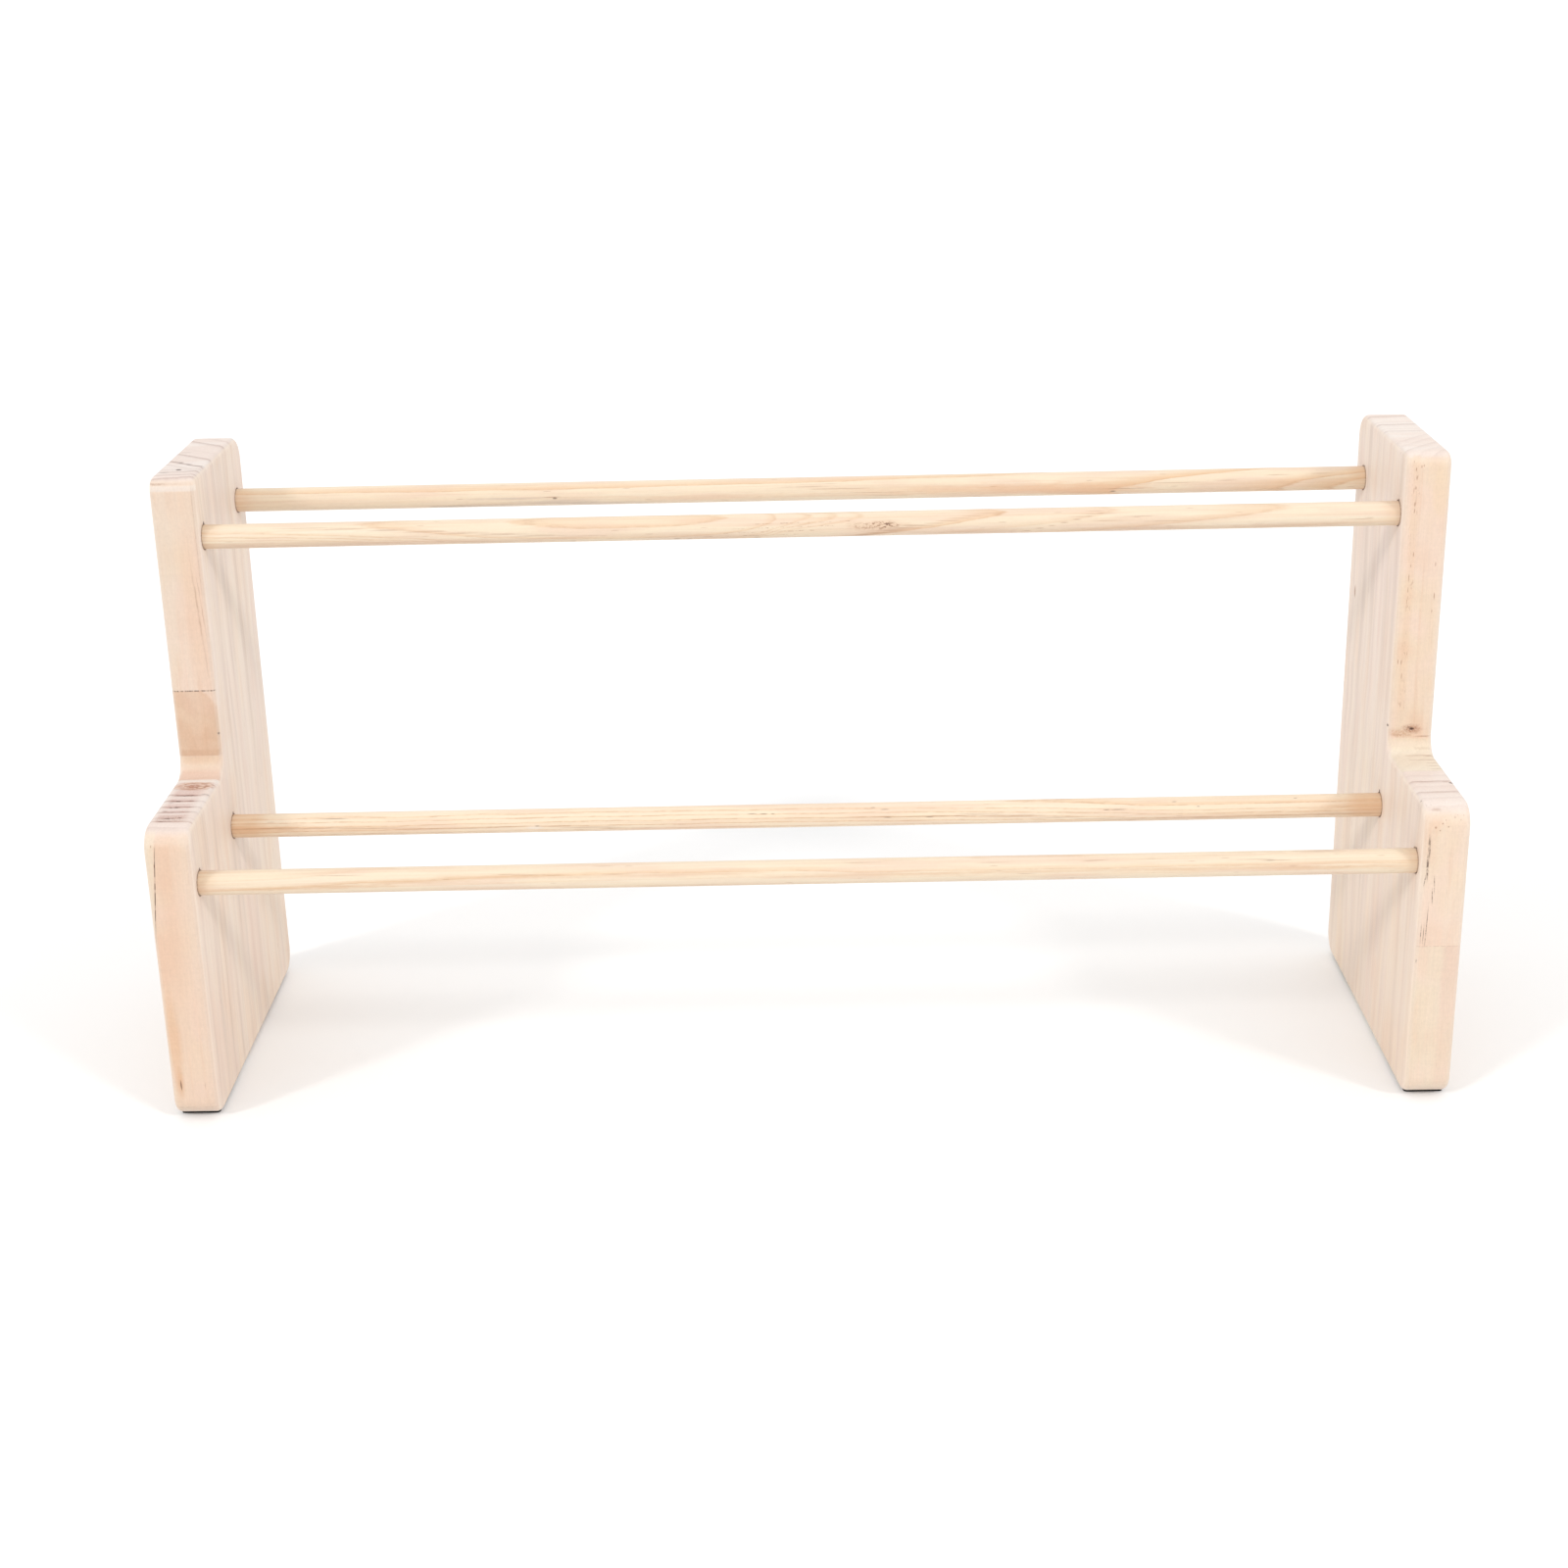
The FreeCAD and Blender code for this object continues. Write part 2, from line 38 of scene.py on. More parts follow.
# ------------------------------------------------------------------ node writing
class Net:
    """Short names for writing a shader as sums and products."""

    def __init__(self, name):
        self.mat = bpy.data.materials.new(name)
        self.mat.use_nodes = True
        self.t = self.mat.node_tree
        self.t.nodes.clear()
        self.out = self.t.nodes.new("ShaderNodeOutputMaterial")
        self.bsdf = self.t.nodes.new("ShaderNodeBsdfPrincipled")
        self.t.links.new(self.bsdf.outputs["BSDF"], self.out.inputs["Surface"])
        self.tc = self.t.nodes.new("ShaderNodeTexCoord")

    def put(self, socket, value):
        if isinstance(value, bpy.types.NodeSocket):
            self.t.links.new(value, socket)
        elif value is not None:
            socket.default_value = value

    def m(self, op, a, b=None, c=None, clamp=False):
        n = self.t.nodes.new("ShaderNodeMath")
        n.operation = op
        n.use_clamp = clamp
        self.put(n.inputs[0], a)
        if b is not None:
            self.put(n.inputs[1], b)
        if c is not None:
            self.put(n.inputs[2], c)
        return n.outputs[0]

    def add(self, a, b):
        return self.m("ADD", a, b)

    def sub(self, a, b):
        return self.m("SUBTRACT", a, b)

    def mul(self, a, b):
        return self.m("MULTIPLY", a, b)

    def mad(self, a, b, c):
        return self.m("MULTIPLY_ADD", a, b, c)

    def mx(self, a, b):
        return self.m("MAXIMUM", a, b)

    def mn(self, a, b):
        return self.m("MINIMUM", a, b)

    def inv(self, a):
        return self.m("SUBTRACT", 1.0, a)

    def v(self, op, a, b=None, scale=None):
        n = self.t.nodes.new("ShaderNodeVectorMath")
        n.operation = op
        self.put(n.inputs[0], a)
        if b is not None:
            self.put(n.inputs[1], b)
        if scale is not None:
            self.put(n.inputs["Scale"], scale)
        return n.outputs["Value"] if op in ("LENGTH", "DOT_PRODUCT", "DISTANCE") else n.outputs[0]

    def xyz(self, vec):
        n = self.t.nodes.new("ShaderNodeSeparateXYZ")
        self.put(n.inputs[0], vec)
        return n.outputs[0], n.outputs[1], n.outputs[2]

    def vec(self, x, y, z):
        n = self.t.nodes.new("ShaderNodeCombineXYZ")
        for i, q in enumerate((x, y, z)):
            self.put(n.inputs[i], q)
        return n.outputs[0]

    def noise(self, vec, scale=1.0, detail=2.0, rough=0.5, lac=2.0, warp=0.0, color=False):
        n = self.t.nodes.new("ShaderNodeTexNoise")
        n.noise_dimensions = "3D"
        self.put(n.inputs["Vector"], vec)
        n.inputs["Scale"].default_value = scale
        n.inputs["Detail"].default_value = detail
        n.inputs["Roughness"].default_value = rough
        n.inputs["Lacunarity"].default_value = lac
        n.inputs["Distortion"].default_value = warp
        return n.outputs["Color"] if color else n.outputs["Fac"]

    def voronoi(self, vec, scale=1.0, feature="F1", rand=1.0):
        n = self.t.nodes.new("ShaderNodeTexVoronoi")
        n.feature = feature
        self.put(n.inputs["Vector"], vec)
        n.inputs["Scale"].default_value = scale
        n.inputs["Randomness"].default_value = rand
        return n.outputs["Distance"], n.outputs["Color"]

    def step(self, x, lo, hi):
        """Smooth step: 0 below lo, 1 above hi (falls if hi < lo)."""
        n = self.t.nodes.new("ShaderNodeMapRange")
        n.interpolation_type = "SMOOTHSTEP"
        n.clamp = True
        if hi < lo:
            self.put(n.inputs["Value"], x)
            n.inputs["From Min"].default_value = hi
            n.inputs["From Max"].default_value = lo
            n.inputs["To Min"].default_value = 1.0
            n.inputs["To Max"].default_value = 0.0
        else:
            self.put(n.inputs["Value"], x)
            n.inputs["From Min"].default_value = lo
            n.inputs["From Max"].default_value = hi
        return n.outputs["Result"]

    def lerp(self, x, lo, hi, a, b):
        n = self.t.nodes.new("ShaderNodeMapRange")
        n.clamp = True
        self.put(n.inputs["Value"], x)
        n.inputs["From Min"].default_value = lo
        n.inputs["From Max"].default_value = hi
        n.inputs["To Min"].default_value = a
        n.inputs["To Max"].default_value = b
        return n.outputs["Result"]

    def ramp(self, x, stops, interp="LINEAR"):
        n = self.t.nodes.new("ShaderNodeValToRGB")
        n.color_ramp.interpolation = interp
        e = n.color_ramp.elements
        stops = sorted(stops, key=lambda s: s[0])
        while len(e) > 1:
            e.remove(e[-1])
        e[0].position = stops[0][0]
        e[0].color = self.col(stops[0][1])
        for p, c in stops[1:]:
            q = e.new(min(max(p, 0.0), 1.0))
            q.color = self.col(c)
        self.put(n.inputs[0], x)
        return n.outputs[0]

    @staticmethod
    def col(c):
        return (c, c, c, 1.0) if isinstance(c, (int, float)) else c

    def curve(self, x, pts):
        """A smooth curve of x through pts, for any range of x and of value."""
        xs = [p[0] for p in pts]
        ys = [p[1] for p in pts]
        x0, x1, y0, y1 = min(xs), max(xs), min(ys), max(ys)
        y1 = y1 if y1 > y0 else y0 + 1.0
        n = self.t.nodes.new("ShaderNodeFloatCurve")
        c = n.mapping.curves[0]
        q = sorted(((p[0] - x0) / (x1 - x0), (p[1] - y0) / (y1 - y0)) for p in pts)
        c.points[0].location = q[0]
        c.points[1].location = q[-1]
        for p in q[1:-1]:
            c.points.new(*p)
        n.mapping.update()
        self.put(n.inputs["Value"], self.lerp(x, x0, x1, 0.0, 1.0))
        return self.mad(n.outputs[0], y1 - y0, y0)

    def mix(self, fac, a, b, blend="MIX"):
        n = self.t.nodes.new("ShaderNodeMix")
        n.data_type = "RGBA"
        n.blend_type = blend
        n.clamp_factor = True
        self.put(n.inputs[0], fac)
        self.put(n.inputs[6], a)
        self.put(n.inputs[7], b)
        return n.outputs[2]

    def mixf(self, fac, a, b):
        n = self.t.nodes.new("ShaderNodeMix")
        n.data_type = "FLOAT"
        self.put(n.inputs[0], fac)
        self.put(n.inputs[2], a)
        self.put(n.inputs[3], b)
        return n.outputs[0]

    def bump(self, height, distance, strength=1.0, normal=None):
        n = self.t.nodes.new("ShaderNodeBump")
        n.inputs["Strength"].default_value = strength
        n.inputs["Distance"].default_value = distance
        self.put(n.inputs["Height"], height)
        if normal is not None:
            self.put(n.inputs["Normal"], normal)
        return n.outputs[0]


# ------------------------------------------------------------------ wood helpers
def rings(net, f, lo, hi, bounds, sharp=0.22):
    """Growth rings along f (mm): each rises slowly to its dark late wood at a
    bound and drops sharply after it. bounds are (position, strength, rise)."""
    span = hi - lo
    stops = [(0.0, 0.0)]
    last = lo
    for b, s, rise in sorted(bounds):
        start = max(b - rise, last + 0.01)
        stops.append(((start - lo) / span, 0.0))
        stops.append(((b - lo) / span, s))
        last = b + sharp
        stops.append(((last - lo) / span, 0.0))
    stops.append((1.0, 0.0))
    assert len(stops) <= 32, len(stops)
    return net.ramp(net.lerp(f, lo, hi, 0.0, 1.0), stops)


def blob(net, p, c, h, shear=(0.0, 0.0), soft=0.35, wob=None):
    """1 inside an ellipsoid at c with half sizes h (mm), 0 outside."""
    x, y, z = p
    dz = net.sub(z, c[2])
    dx = net.sub(x, c[0])
    dy = net.sub(y, c[1])
    if shear[0]:
        dx = net.mad(dz, -shear[0], dx)
    if shear[1]:
        dy = net.mad(dz, -shear[1], dy)
    q = net.vec(net.mul(dx, 1.0 / h[0]), net.mul(dy, 1.0 / h[1]), net.mul(dz, 1.0 / h[2]))
    d = net.v("LENGTH", q)
    if wob is not None:
        d = net.add(d, wob)
    return net.step(d, 1.0 + soft, 1.0 - soft)


def total(net, masks):
    out = masks[0]
    for k in masks[1:]:
        out = net.mx(out, k)
    return out


def band(net, q, at, half, soft):
    """1 within half of at, falling to 0 over soft."""
    return net.step(net.m("ABSOLUTE", net.sub(q, at)), half + soft, half)


def common(net):
    p = net.v("SCALE", net.tc.outputs["Object"], scale=1000.0)
    n = net.tc.outputs["Normal"]
    return p, n


# ------------------------------------------------------------------ panel wood
FRONT_Y, STEP_Y, BACK_Y = -61.0, -7.5, 61.0
STEP_Z, TOP_Z = 103.0, 204.0


# painted shadows in the gap where each rod enters its socket: rod, offset from its axis, half sizes, strength
SOCKET_GAP_SHADOWS = {
    -1: (("lower_back_rod", (0.9, 4.45), (0.62, 0.50), 1.0), ("lower_front_rod", (1.0, 4.40), (0.55, 0.42), 0.9),
         ("upper_front_rod", (0.8, 4.40), (0.62, 0.48), 1.0), ("upper_back_rod", (1.2, -4.35), (0.45, 0.35), 0.6)),
    1: (("lower_back_rod", (0.9, 4.60), (0.60, 0.55), 1.0), ("lower_front_rod", (-0.6, 4.45), (0.50, 0.36), 0.8),
        ("upper_front_rod", (-0.5, 4.45), (0.52, 0.36), 0.8), ("upper_back_rod", (-1.4, 4.30), (0.40, 0.32), 0.5))}


def panel_wood(name, side):
    net = Net(name)
    p, nor = common(net)
    x, y, z = net.xyz(p)
    nx, ny, nz = net.xyz(nor)
    anx, any_, anz = (net.m("ABSOLUTE", q) for q in (nx, ny, nz))
    end = net.step(anz, 0.50, 0.86)             # end grain: tops and feet
    edge = net.step(any_, 0.40, 0.80)           # front and back edges
    round_ = net.step(net.mx(net.mx(anx, any_), anz), 0.985, 0.86)   # the rounded arrises
    x0 = side * 202.5
    u = net.sub(x, x0)                          # across the thickness, -7.5..7.5
    seed = 3.0 * side

    # slow drift of the grain along the board, and a fine wander
    slow = net.noise(net.vec(net.mul(x, 0.05), net.mad(y, 0.03, seed), net.mul(z, 0.010)), 1.0, 2.0, 0.5)
    slow = net.mul(net.sub(slow, 0.5), 11.0)
    fine = net.noise(net.vec(net.mul(x, 0.30), net.mad(y, 0.22, seed), net.mul(z, 0.030)), 1.0, 3.0, 0.6)
    fine = net.mul(net.sub(fine, 0.5), 2.2)
    # the rings are placed on the end grain, so the drift fades towards it
    hold = net.mixf(net.mx(net.step(z, 185.0, 203.0),
                           net.mul(net.step(z, 90.0, 102.0), net.step(z, 118.0, 104.0))), 1.0, 0.12)
    drift = net.mad(slow, hold, net.mul(fine, net.mixf(end, 1.0, 0.45)))

    if side < 0:
        cut1, cut2 = -14.5, 8.0
        f_front = net.add(net.mad(u, 0.05, y), drift)
        f_mid = net.add(net.mad(u, -0.10, y), drift)
        f_back = net.add(net.mad(u, 0.72, y), drift)
        r_front = rings(net, f_front, -66, -8, [(-60.5, .4, 3), (-56.0, .45, 3), (-52.0, .8, 1.2),
                                                (-49.2, .7, 1.2), (-43.9, .8, 1.8), (-38.9, .95, 2.0),
                                                (-33.4, 1.0, 2.2), (-27.8, 1.0, 2.0), (-22.5, .45, 3)])
        r_mid = rings(net, f_mid, -20, 14, [(-12.2, .35, 2.2), (-8.6, .4, 2.2), (-4.2, .8, 1.8), (-1.4, .8, 1.8),
                                            (2.8, .85, 1.8), (6.2, .6, 2.0)])
        r_back = rings(net, f_back, -2, 72, [(4.0, .3, 3), (9.6, .55, 2.5), (14.4, 1.0, 2.4), (25.4, .85, 3.5),
                                             (34.5, .2, 5), (45.5, .8, 4), (53.0, .45, 3), (59.5, .4, 3)])
    else:
        cut1, cut2 = -27.5, 24.0
        f_front = net.add(net.mad(u, -0.03, y), drift)
        f_mid = net.mul(net.add(net.sub(y, u), drift), 0.7071)
        # plain-sawn arches low on the back stave
        arch = net.mul(net.step(z, 150.0, 60.0), net.mul(net.m("ABSOLUTE", net.sub(y, 31.0)), -0.45))
        f_back = net.add(net.mad(u, -0.02, y), net.mad(arch, 1.0, drift))
        f_back = net.mad(net.step(z, 140.0, 20.0), 8.0, f_back)
        r_front = rings(net, f_front, -68, -20, [(-62, .3, 3), (-57, .35, 3), (-52, .35, 3), (-46.6, .75, 3),
                                                 (-41.5, .3, 3), (-37.0, .8, 3), (-31.5, .4, 3)])
        r_mid = rings(net, f_mid, -30, 27, [(-26, .3, 3.0), (-21.5, .35, 3.2), (-17.5, .25, 3.2), (-12.8, .35, 3.4),
                                            (-9.0, .3, 3), (-5.2, .35, 3), (-1.6, .25, 3), (3.0, .4, 3),
                                            (7.4, .3, 3), (11.5, .35, 3)])
        r_back = rings(net, f_back, 18, 68, [(27.3, .6, 2.6), (30.8, .4, 2.2), (34.2, .3, 2.0), (37.7, .8, 3.0),
                                             (41.2, .35, 2.0), (51.0, .7, 3.5), (57.5, .3, 4)])
    m1 = net.step(y, cut1 - 0.06, cut1 + 0.06)
    m2 = net.step(y, cut2 - 0.06, cut2 + 0.06)
    L = net.mixf(m2, net.mixf(m1, r_front, r_mid), r_back)
    stave = net.add(net.mul(m1, 5.3), net.mul(m2, 7.9))          # each stave has its own figure

    # glue lines between staves
    glue = total(net, [band(net, y, c, 0.05, 0.12) for c in (cut1, cut2)])

    # fibres, streaks and patches, all following the drift
    xw = net.mad(drift, 0.3, x)
    yw = net.add(y, drift)
    zs = net.add(z, net.mul(stave, 37.0))
    fib = net.noise(net.vec(net.mul(xw, 2.6), net.mul(yw, 2.2), net.mul(zs, 0.045)), 1.0, 4.0, 0.62)
    wide = net.noise(net.vec(net.mul(xw, 0.16), net.mul(yw, 0.20), net.mul(zs, 0.0085)), 1.0, 3.0, 0.62)
    thin = net.noise(net.vec(net.mul(xw, 0.55), net.mul(yw, 0.62), net.mul(zs, 0.0135)), 1.0, 3.0, 0.65)
    hue = net.noise(net.vec(net.mad(stave, 1.7, net.mul(x, 0.04)), net.mul(y, 0.085), net.mul(z, 0.028)), 1.0, 2.0, 0.55)
    speck = net.noise(net.vec(net.mul(x, 1.3), net.mul(y, 1.3), net.mul(z, 0.9)), 1.0, 3.0, 0.7)
    pore = net.noise(net.vec(net.mul(x, 4.0), net.mul(y, 4.0), net.mul(z, 4.0)), 1.0, 2.0, 0.6)
    saw = net.noise(net.vec(net.mul(x, 0.10), net.mul(y, 0.10), net.mul(z, 0.85)), 1.0, 2.0, 0.7)

    # base colours by the way the wood is cut
    side_c = net.ramp(wide, [(0.28, rgb(226, 206, 191)), (0.42, rgb(237, 216, 201)), (0.52, rgb(241, 221, 206)),
                             (0.64, rgb(244, 225, 209)), (0.76, rgb(237, 216, 199))])
    side_c = net.mix(net.mul(net.mul(net.step(thin, 0.56, 0.72), net.lerp(hue, 0.36, 0.6, 0.10, 0.42)), 0.70), side_c, rgb(219, 196, 180))
    side_c = net.mix(net.mul(net.step(thin, 0.42, 0.30), 0.35), side_c, rgb(249, 233, 218))
    side_c = net.mix(1.0, side_c, net.ramp(hue, [(0.34, (0.985, 0.955, 0.945, 1)), (0.46, (0.985, 0.985, 0.99, 1)),
                                                 (0.54, (1, 1, 0.985, 1)), (0.66, (1.0, 0.965, 0.925, 1))]), "MULTIPLY")
    if side < 0:
        tints = [((-30, 84), (24, 18), (1.0, 0.968, 0.945, 1), 0.9), ((-40, 24), (20, 22), (1.0, 0.958, 0.940, 1), 0.9),
                 ((10, 34), (8, 28), (1.0, 0.962, 0.950, 1), 0.8), ((30, 150), (24, 50), (0.985, 0.985, 0.975, 1), 0.8),
                 ((40, 60), (16, 40), (0.98, 0.985, 0.965, 1), 0.7), ((-12, 60), (10, 30), (0.985, 0.985, 0.965, 1), 0.7)]
    else:
        tints = [((10, 165), (16, 34), (0.985, 0.972, 0.990, 1), 0.9), ((-9, 38), (7, 20), (0.975, 0.925, 0.920, 1), 0.7),
                 ((20, 80), (26, 20), (0.985, 0.990, 0.965, 1), 0.8), ((-40, 10), (20, 12), (1.0, 0.950, 0.920, 1), 0.7),
                 ((-38, 78), (16, 18), (0.985, 0.975, 0.965, 1), 0.8), ((45, 30), (16, 30), (0.985, 0.985, 0.955, 1), 0.7)]
    soft_w = net.mul(net.sub(net.noise(net.vec(net.mul(x, 0.05), net.mul(y, 0.07), net.mul(z, 0.03)), 1.0, 3.0, 0.6), 0.5), 1.4)
    for (ty, tz), (hy, hz), tc, k in tints:
        t_m = blob(net, (x, y, z), (x0, ty, tz), (60.0, hy, hz), soft=0.6, wob=soft_w)
        side_c = net.mix(net.mul(t_m, k), side_c, net.mix(1.0, side_c, tc, "MULTIPLY"))
    side_c = net.mix(net.step(z, 120.0, 40.0), side_c, net.mix(1.0, side_c, (1.0, 0.987, 0.962, 1), "MULTIPLY"))
    # a few long streaks where they run on the inner faces
    if side < 0:
        long_s = ((24.0, 152, 1.6, 22, .40), (37.7, 128, 2.4, 26, .40), (6.9, 122, 1.8, 22, .35), (-28.0, 84, 1.2, 18, .35), (-44.0, 30, 1.6, 24, .40))
        long_l = ((14.6, 140, 1.8, 20, .45), (30.0, 100, 2.0, 26, .35), (-20.0, 50, 1.6, 24, .35))
    else:
        long_s = ((38.4, 150, 1.5, 24, .55), (38.6, 120, 1.3, 16, .40), (27.2, 152, 1.5, 18, .50), (6.8, 145, 1.3, 28, .50), (46.0, 108, 1.6, 14, .45),
                  (-22.0, 80, 1.4, 18, .40), (-34.0, 84, 1.0, 14, .35), (12.0, 60, 1.8, 26, .35))
        long_l = ((31.2, 141, 1.3, 22, .50), (18.0, 150, 1.8, 26, .40), (-14.0, 84, 1.8, 14, .35), (50.0, 130, 1.2, 20, .35))
    for ty, tz, hy, hz, k in long_s:
        side_c = net.mix(net.mul(blob(net, (x, yw, z), (x0, ty, tz), (60.0, hy, hz), soft=0.8), k), side_c, rgb(222, 201, 186))
    for ty, tz, hy, hz, k in long_l:
        side_c = net.mix(net.mul(blob(net, (x, yw, z), (x0, ty, tz), (60.0, hy, hz), soft=0.8), k), side_c, rgb(247, 229, 214))
    edge_c = net.ramp(hue, [(0.36, rgb(246, 214, 189)), (0.45, rgb(248, 219, 196)), (0.54, rgb(246, 219, 191)),
                            (0.63, rgb(244, 209, 180))])
    edge_c = net.mix(net.mul(net.step(wide, 0.50, 0.68), 0.5), edge_c, rgb(247, 224, 201))
    edge_c = net.mix(net.mul(net.step(thin, 0.56, 0.72), 0.35), edge_c, rgb(236, 196, 164))
    end_c = net.mix(net.step(hue, 0.4, 0.62), rgb(249, 235, 228), rgb(245, 226, 217))
    base = net.mix(end, net.mix(edge, side_c, edge_c), end_c)

    # late wood
    late_side = rgb(205, 175, 153)
    late_edge = rgb(230, 186, 150)
    late_end = rgb(166, 128, 116)
    late = net.mix(end, net.mix(edge, late_side, late_edge), late_end)
    amount = net.mixf(end, net.mixf(edge, net.lerp(hue, 0.36, 0.62, 0.12, 0.40), 0.28), 0.80)
    amount = net.mul(amount, net.lerp(fib, 0.3, 0.7, 0.6, 1.2))
    amount = net.mul(amount, net.mixf(end, 1.0, net.lerp(pore, 0.35, 0.62, 0.55, 1.25)))
    if side < 0:
        amount = net.mul(amount, net.mixf(net.mul(net.mul(end, net.step(z, 110.0, 104.0)), net.step(x, -201.0, -197.5)), 1.0, 0.40))
    base = net.mix(net.mul(net.m("POWER", L, 1.5), amount), base, late)

    wob = net.mul(net.sub(net.noise(p, 0.9, 3.0, 0.6), 0.5), 0.9)
    wob_s = net.mul(net.sub(net.noise(p, 2.4, 2.0, 0.6), 0.5), 0.8)
    P = (x, y, z)
    dark, brown = [], []
    # sockets: painted shade inside each hole, a thin painted shadow ring round its mouth, and a small painted shadow in
    # the gap beside each rod
    on_in = net.step(net.mul(x, float(side)), 196.2, 195.6)
    for rod, (oy, oz), (hy, hz), k in SOCKET_GAP_SHADOWS[side]:
        rlo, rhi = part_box(rod)
        ry, rz = (rlo[1] + rhi[1]) / 2 / MM, (rlo[2] + rhi[2]) / 2 / MM
        rd = net.v("LENGTH", net.vec(0.0, net.sub(y, ry), net.sub(z, rz)))
        dark.append(net.mul(net.mul(net.step(rd, 4.30, 4.24), net.step(net.mul(x, float(side)), 207.2, 206.6)), 0.75))
        brown.append(net.mul(net.mul(band(net, rd, 4.36, 0.10, 0.28), on_in), net.lerp(pore, 0.38, 0.6, 0.12, 0.55)))
        dark.append(net.mul(blob(net, (x, y, z), (side * 195.0, ry + oy, rz + oz), (1.5, hy, hz), soft=0.35, wob=net.mul(wob_s, 0.3)), k))
    if side < 0:
        # block between finger joints on the upper front edge
        zj = 132.1
        block = net.mul(net.mul(m1, net.inv(m2)), net.mul(net.step(z, zj + 0.05, zj - 0.05), net.step(z, 109.0, 109.5)))
        heart = blob(net, P, (-209.0, 0.0, 119.0), (15.6, 80.0, 16.4), soft=0.035, wob=net.mul(wob, 0.10))
        tone_b = net.mix(net.step(net.noise(p, 0.16, 2.0, 0.5), 0.4, 0.62), rgb(233, 191, 156), rgb(225, 177, 140))
        base = net.mix(net.mul(net.mul(block, heart), net.mixf(edge, 0.10, 0.55)), base, tone_b)
        base = net.mix(net.mul(net.mul(block, edge), net.mul(band(net, z, 110.3, 0.5, 1.2), 0.22)), base, rgb(205, 154, 116))
        base = net.mix(net.mul(net.mul(edge, net.step(z, 109.4, 108.6)), net.mul(net.step(z, 102.0, 105.0), 0.35)),
                       base, rgb(246, 208, 172))
        dashes = net.lerp(net.noise(net.vec(net.mul(x, 2.3), 7.3, 3.0), 1.0, 2.0, 0.6), 0.44, 0.54, 0.12, 1.0)
        line = net.mul(net.mul(edge, net.step(y, 20.0, 0.0)), net.mul(band(net, z, zj, 0.14, 0.16), dashes))
        dark.append(net.mul(line, net.mul(net.step(z, 120.0, 125.0), 0.75)))
        # warm stripe and glow low on the front edge
        on_low = net.mul(edge, net.step(y, -50.0, -58.0))
        glow = blob(net, P, (-203.2, -61, 70.0), (2.4, 6, 26.0), soft=0.8, wob=net.mul(wob, 0.6))
        base = net.mix(net.mul(net.mul(on_low, glow), 0.45), base, rgb(243, 200, 168))
        glow = blob(net, P, (-206.5, -61, 58.0), (3.0, 6, 14.0), soft=0.8, wob=net.mul(wob, 0.6))
        base = net.mix(net.mul(net.mul(on_low, glow), 0.35), base, rgb(243, 199, 168))
        warm_l = net.step(net.mad(net.sub(z, 82.0), -0.097, x), -208.3, -207.3)
        base = net.mix(net.mul(net.mul(on_low, warm_l), net.lerp(wide, 0.36, 0.62, 0.18, 0.42)), base, rgb(245, 205, 174))
        stripe = blob(net, P, (-207.4, -61, 29.0), (2.0, 6, 15.5), soft=0.55, wob=net.mul(wob, 0.5))
        base = net.mix(net.mul(net.mul(on_low, stripe), 0.50), base, rgb(238, 189, 146))
        base = net.mix(net.mul(net.mul(on_low, blob(net, P, (-206.8, -61, 14.4), (1.0, 6, 4.2), soft=0.8)), 0.5), base, rgb(230, 174, 128))
        # painted highlight down the rounded inner arris of the lower front edge
        base = net.mix(net.mul(net.mul(on_low, blob(net, P, (-197.0, -61, 62.0), (1.4, 6, 60.0), soft=0.7)), 0.3), base, rgb(245, 222, 198))
        wedge = net.mul(net.mul(on_low, net.step(net.mad(net.sub(z, 82.0), -0.097, x), -207.9, -208.2)), net.step(z, 62.0, 70.0))
        base = net.mix(net.mul(wedge, 0.5), base, rgb(247, 226, 196))
        on_upl = net.mul(net.mul(edge, net.step(y, 3.0, -3.0)), net.step(z, 130.0, 134.0))
        base = net.mix(net.mul(net.mul(on_upl, net.step(z, 176.0, 190.0)), 0.45), base, rgb(246, 222, 199))
        warm_u = blob(net, P, (-199.0, -7.5, 161.0), (3.4, 6.0, 27.0), soft=0.8, wob=net.mul(wob, 0.5))
        base = net.mix(net.mul(net.mul(on_upl, warm_u), 0.38), base, rgb(244, 202, 168))
        cool_u = blob(net, P, (-207.0, -7.5, 172.0), (3.0, 6.0, 26.0), soft=0.8, wob=net.mul(wob, 0.5))
        base = net.mix(net.mul(net.mul(on_upl, cool_u), 0.35), base, rgb(240, 221, 198))
        brown.append(net.mul(net.mul(net.step(y, 1.0, -3.0), net.mul(band(net, x, -196.2, 0.10, 0.22), net.step(z, 160.0, 172.0))),
                             net.mul(net.step(z, 203.0, 199.0), net.lerp(speck, 0.4, 0.6, 0.10, 0.40))))
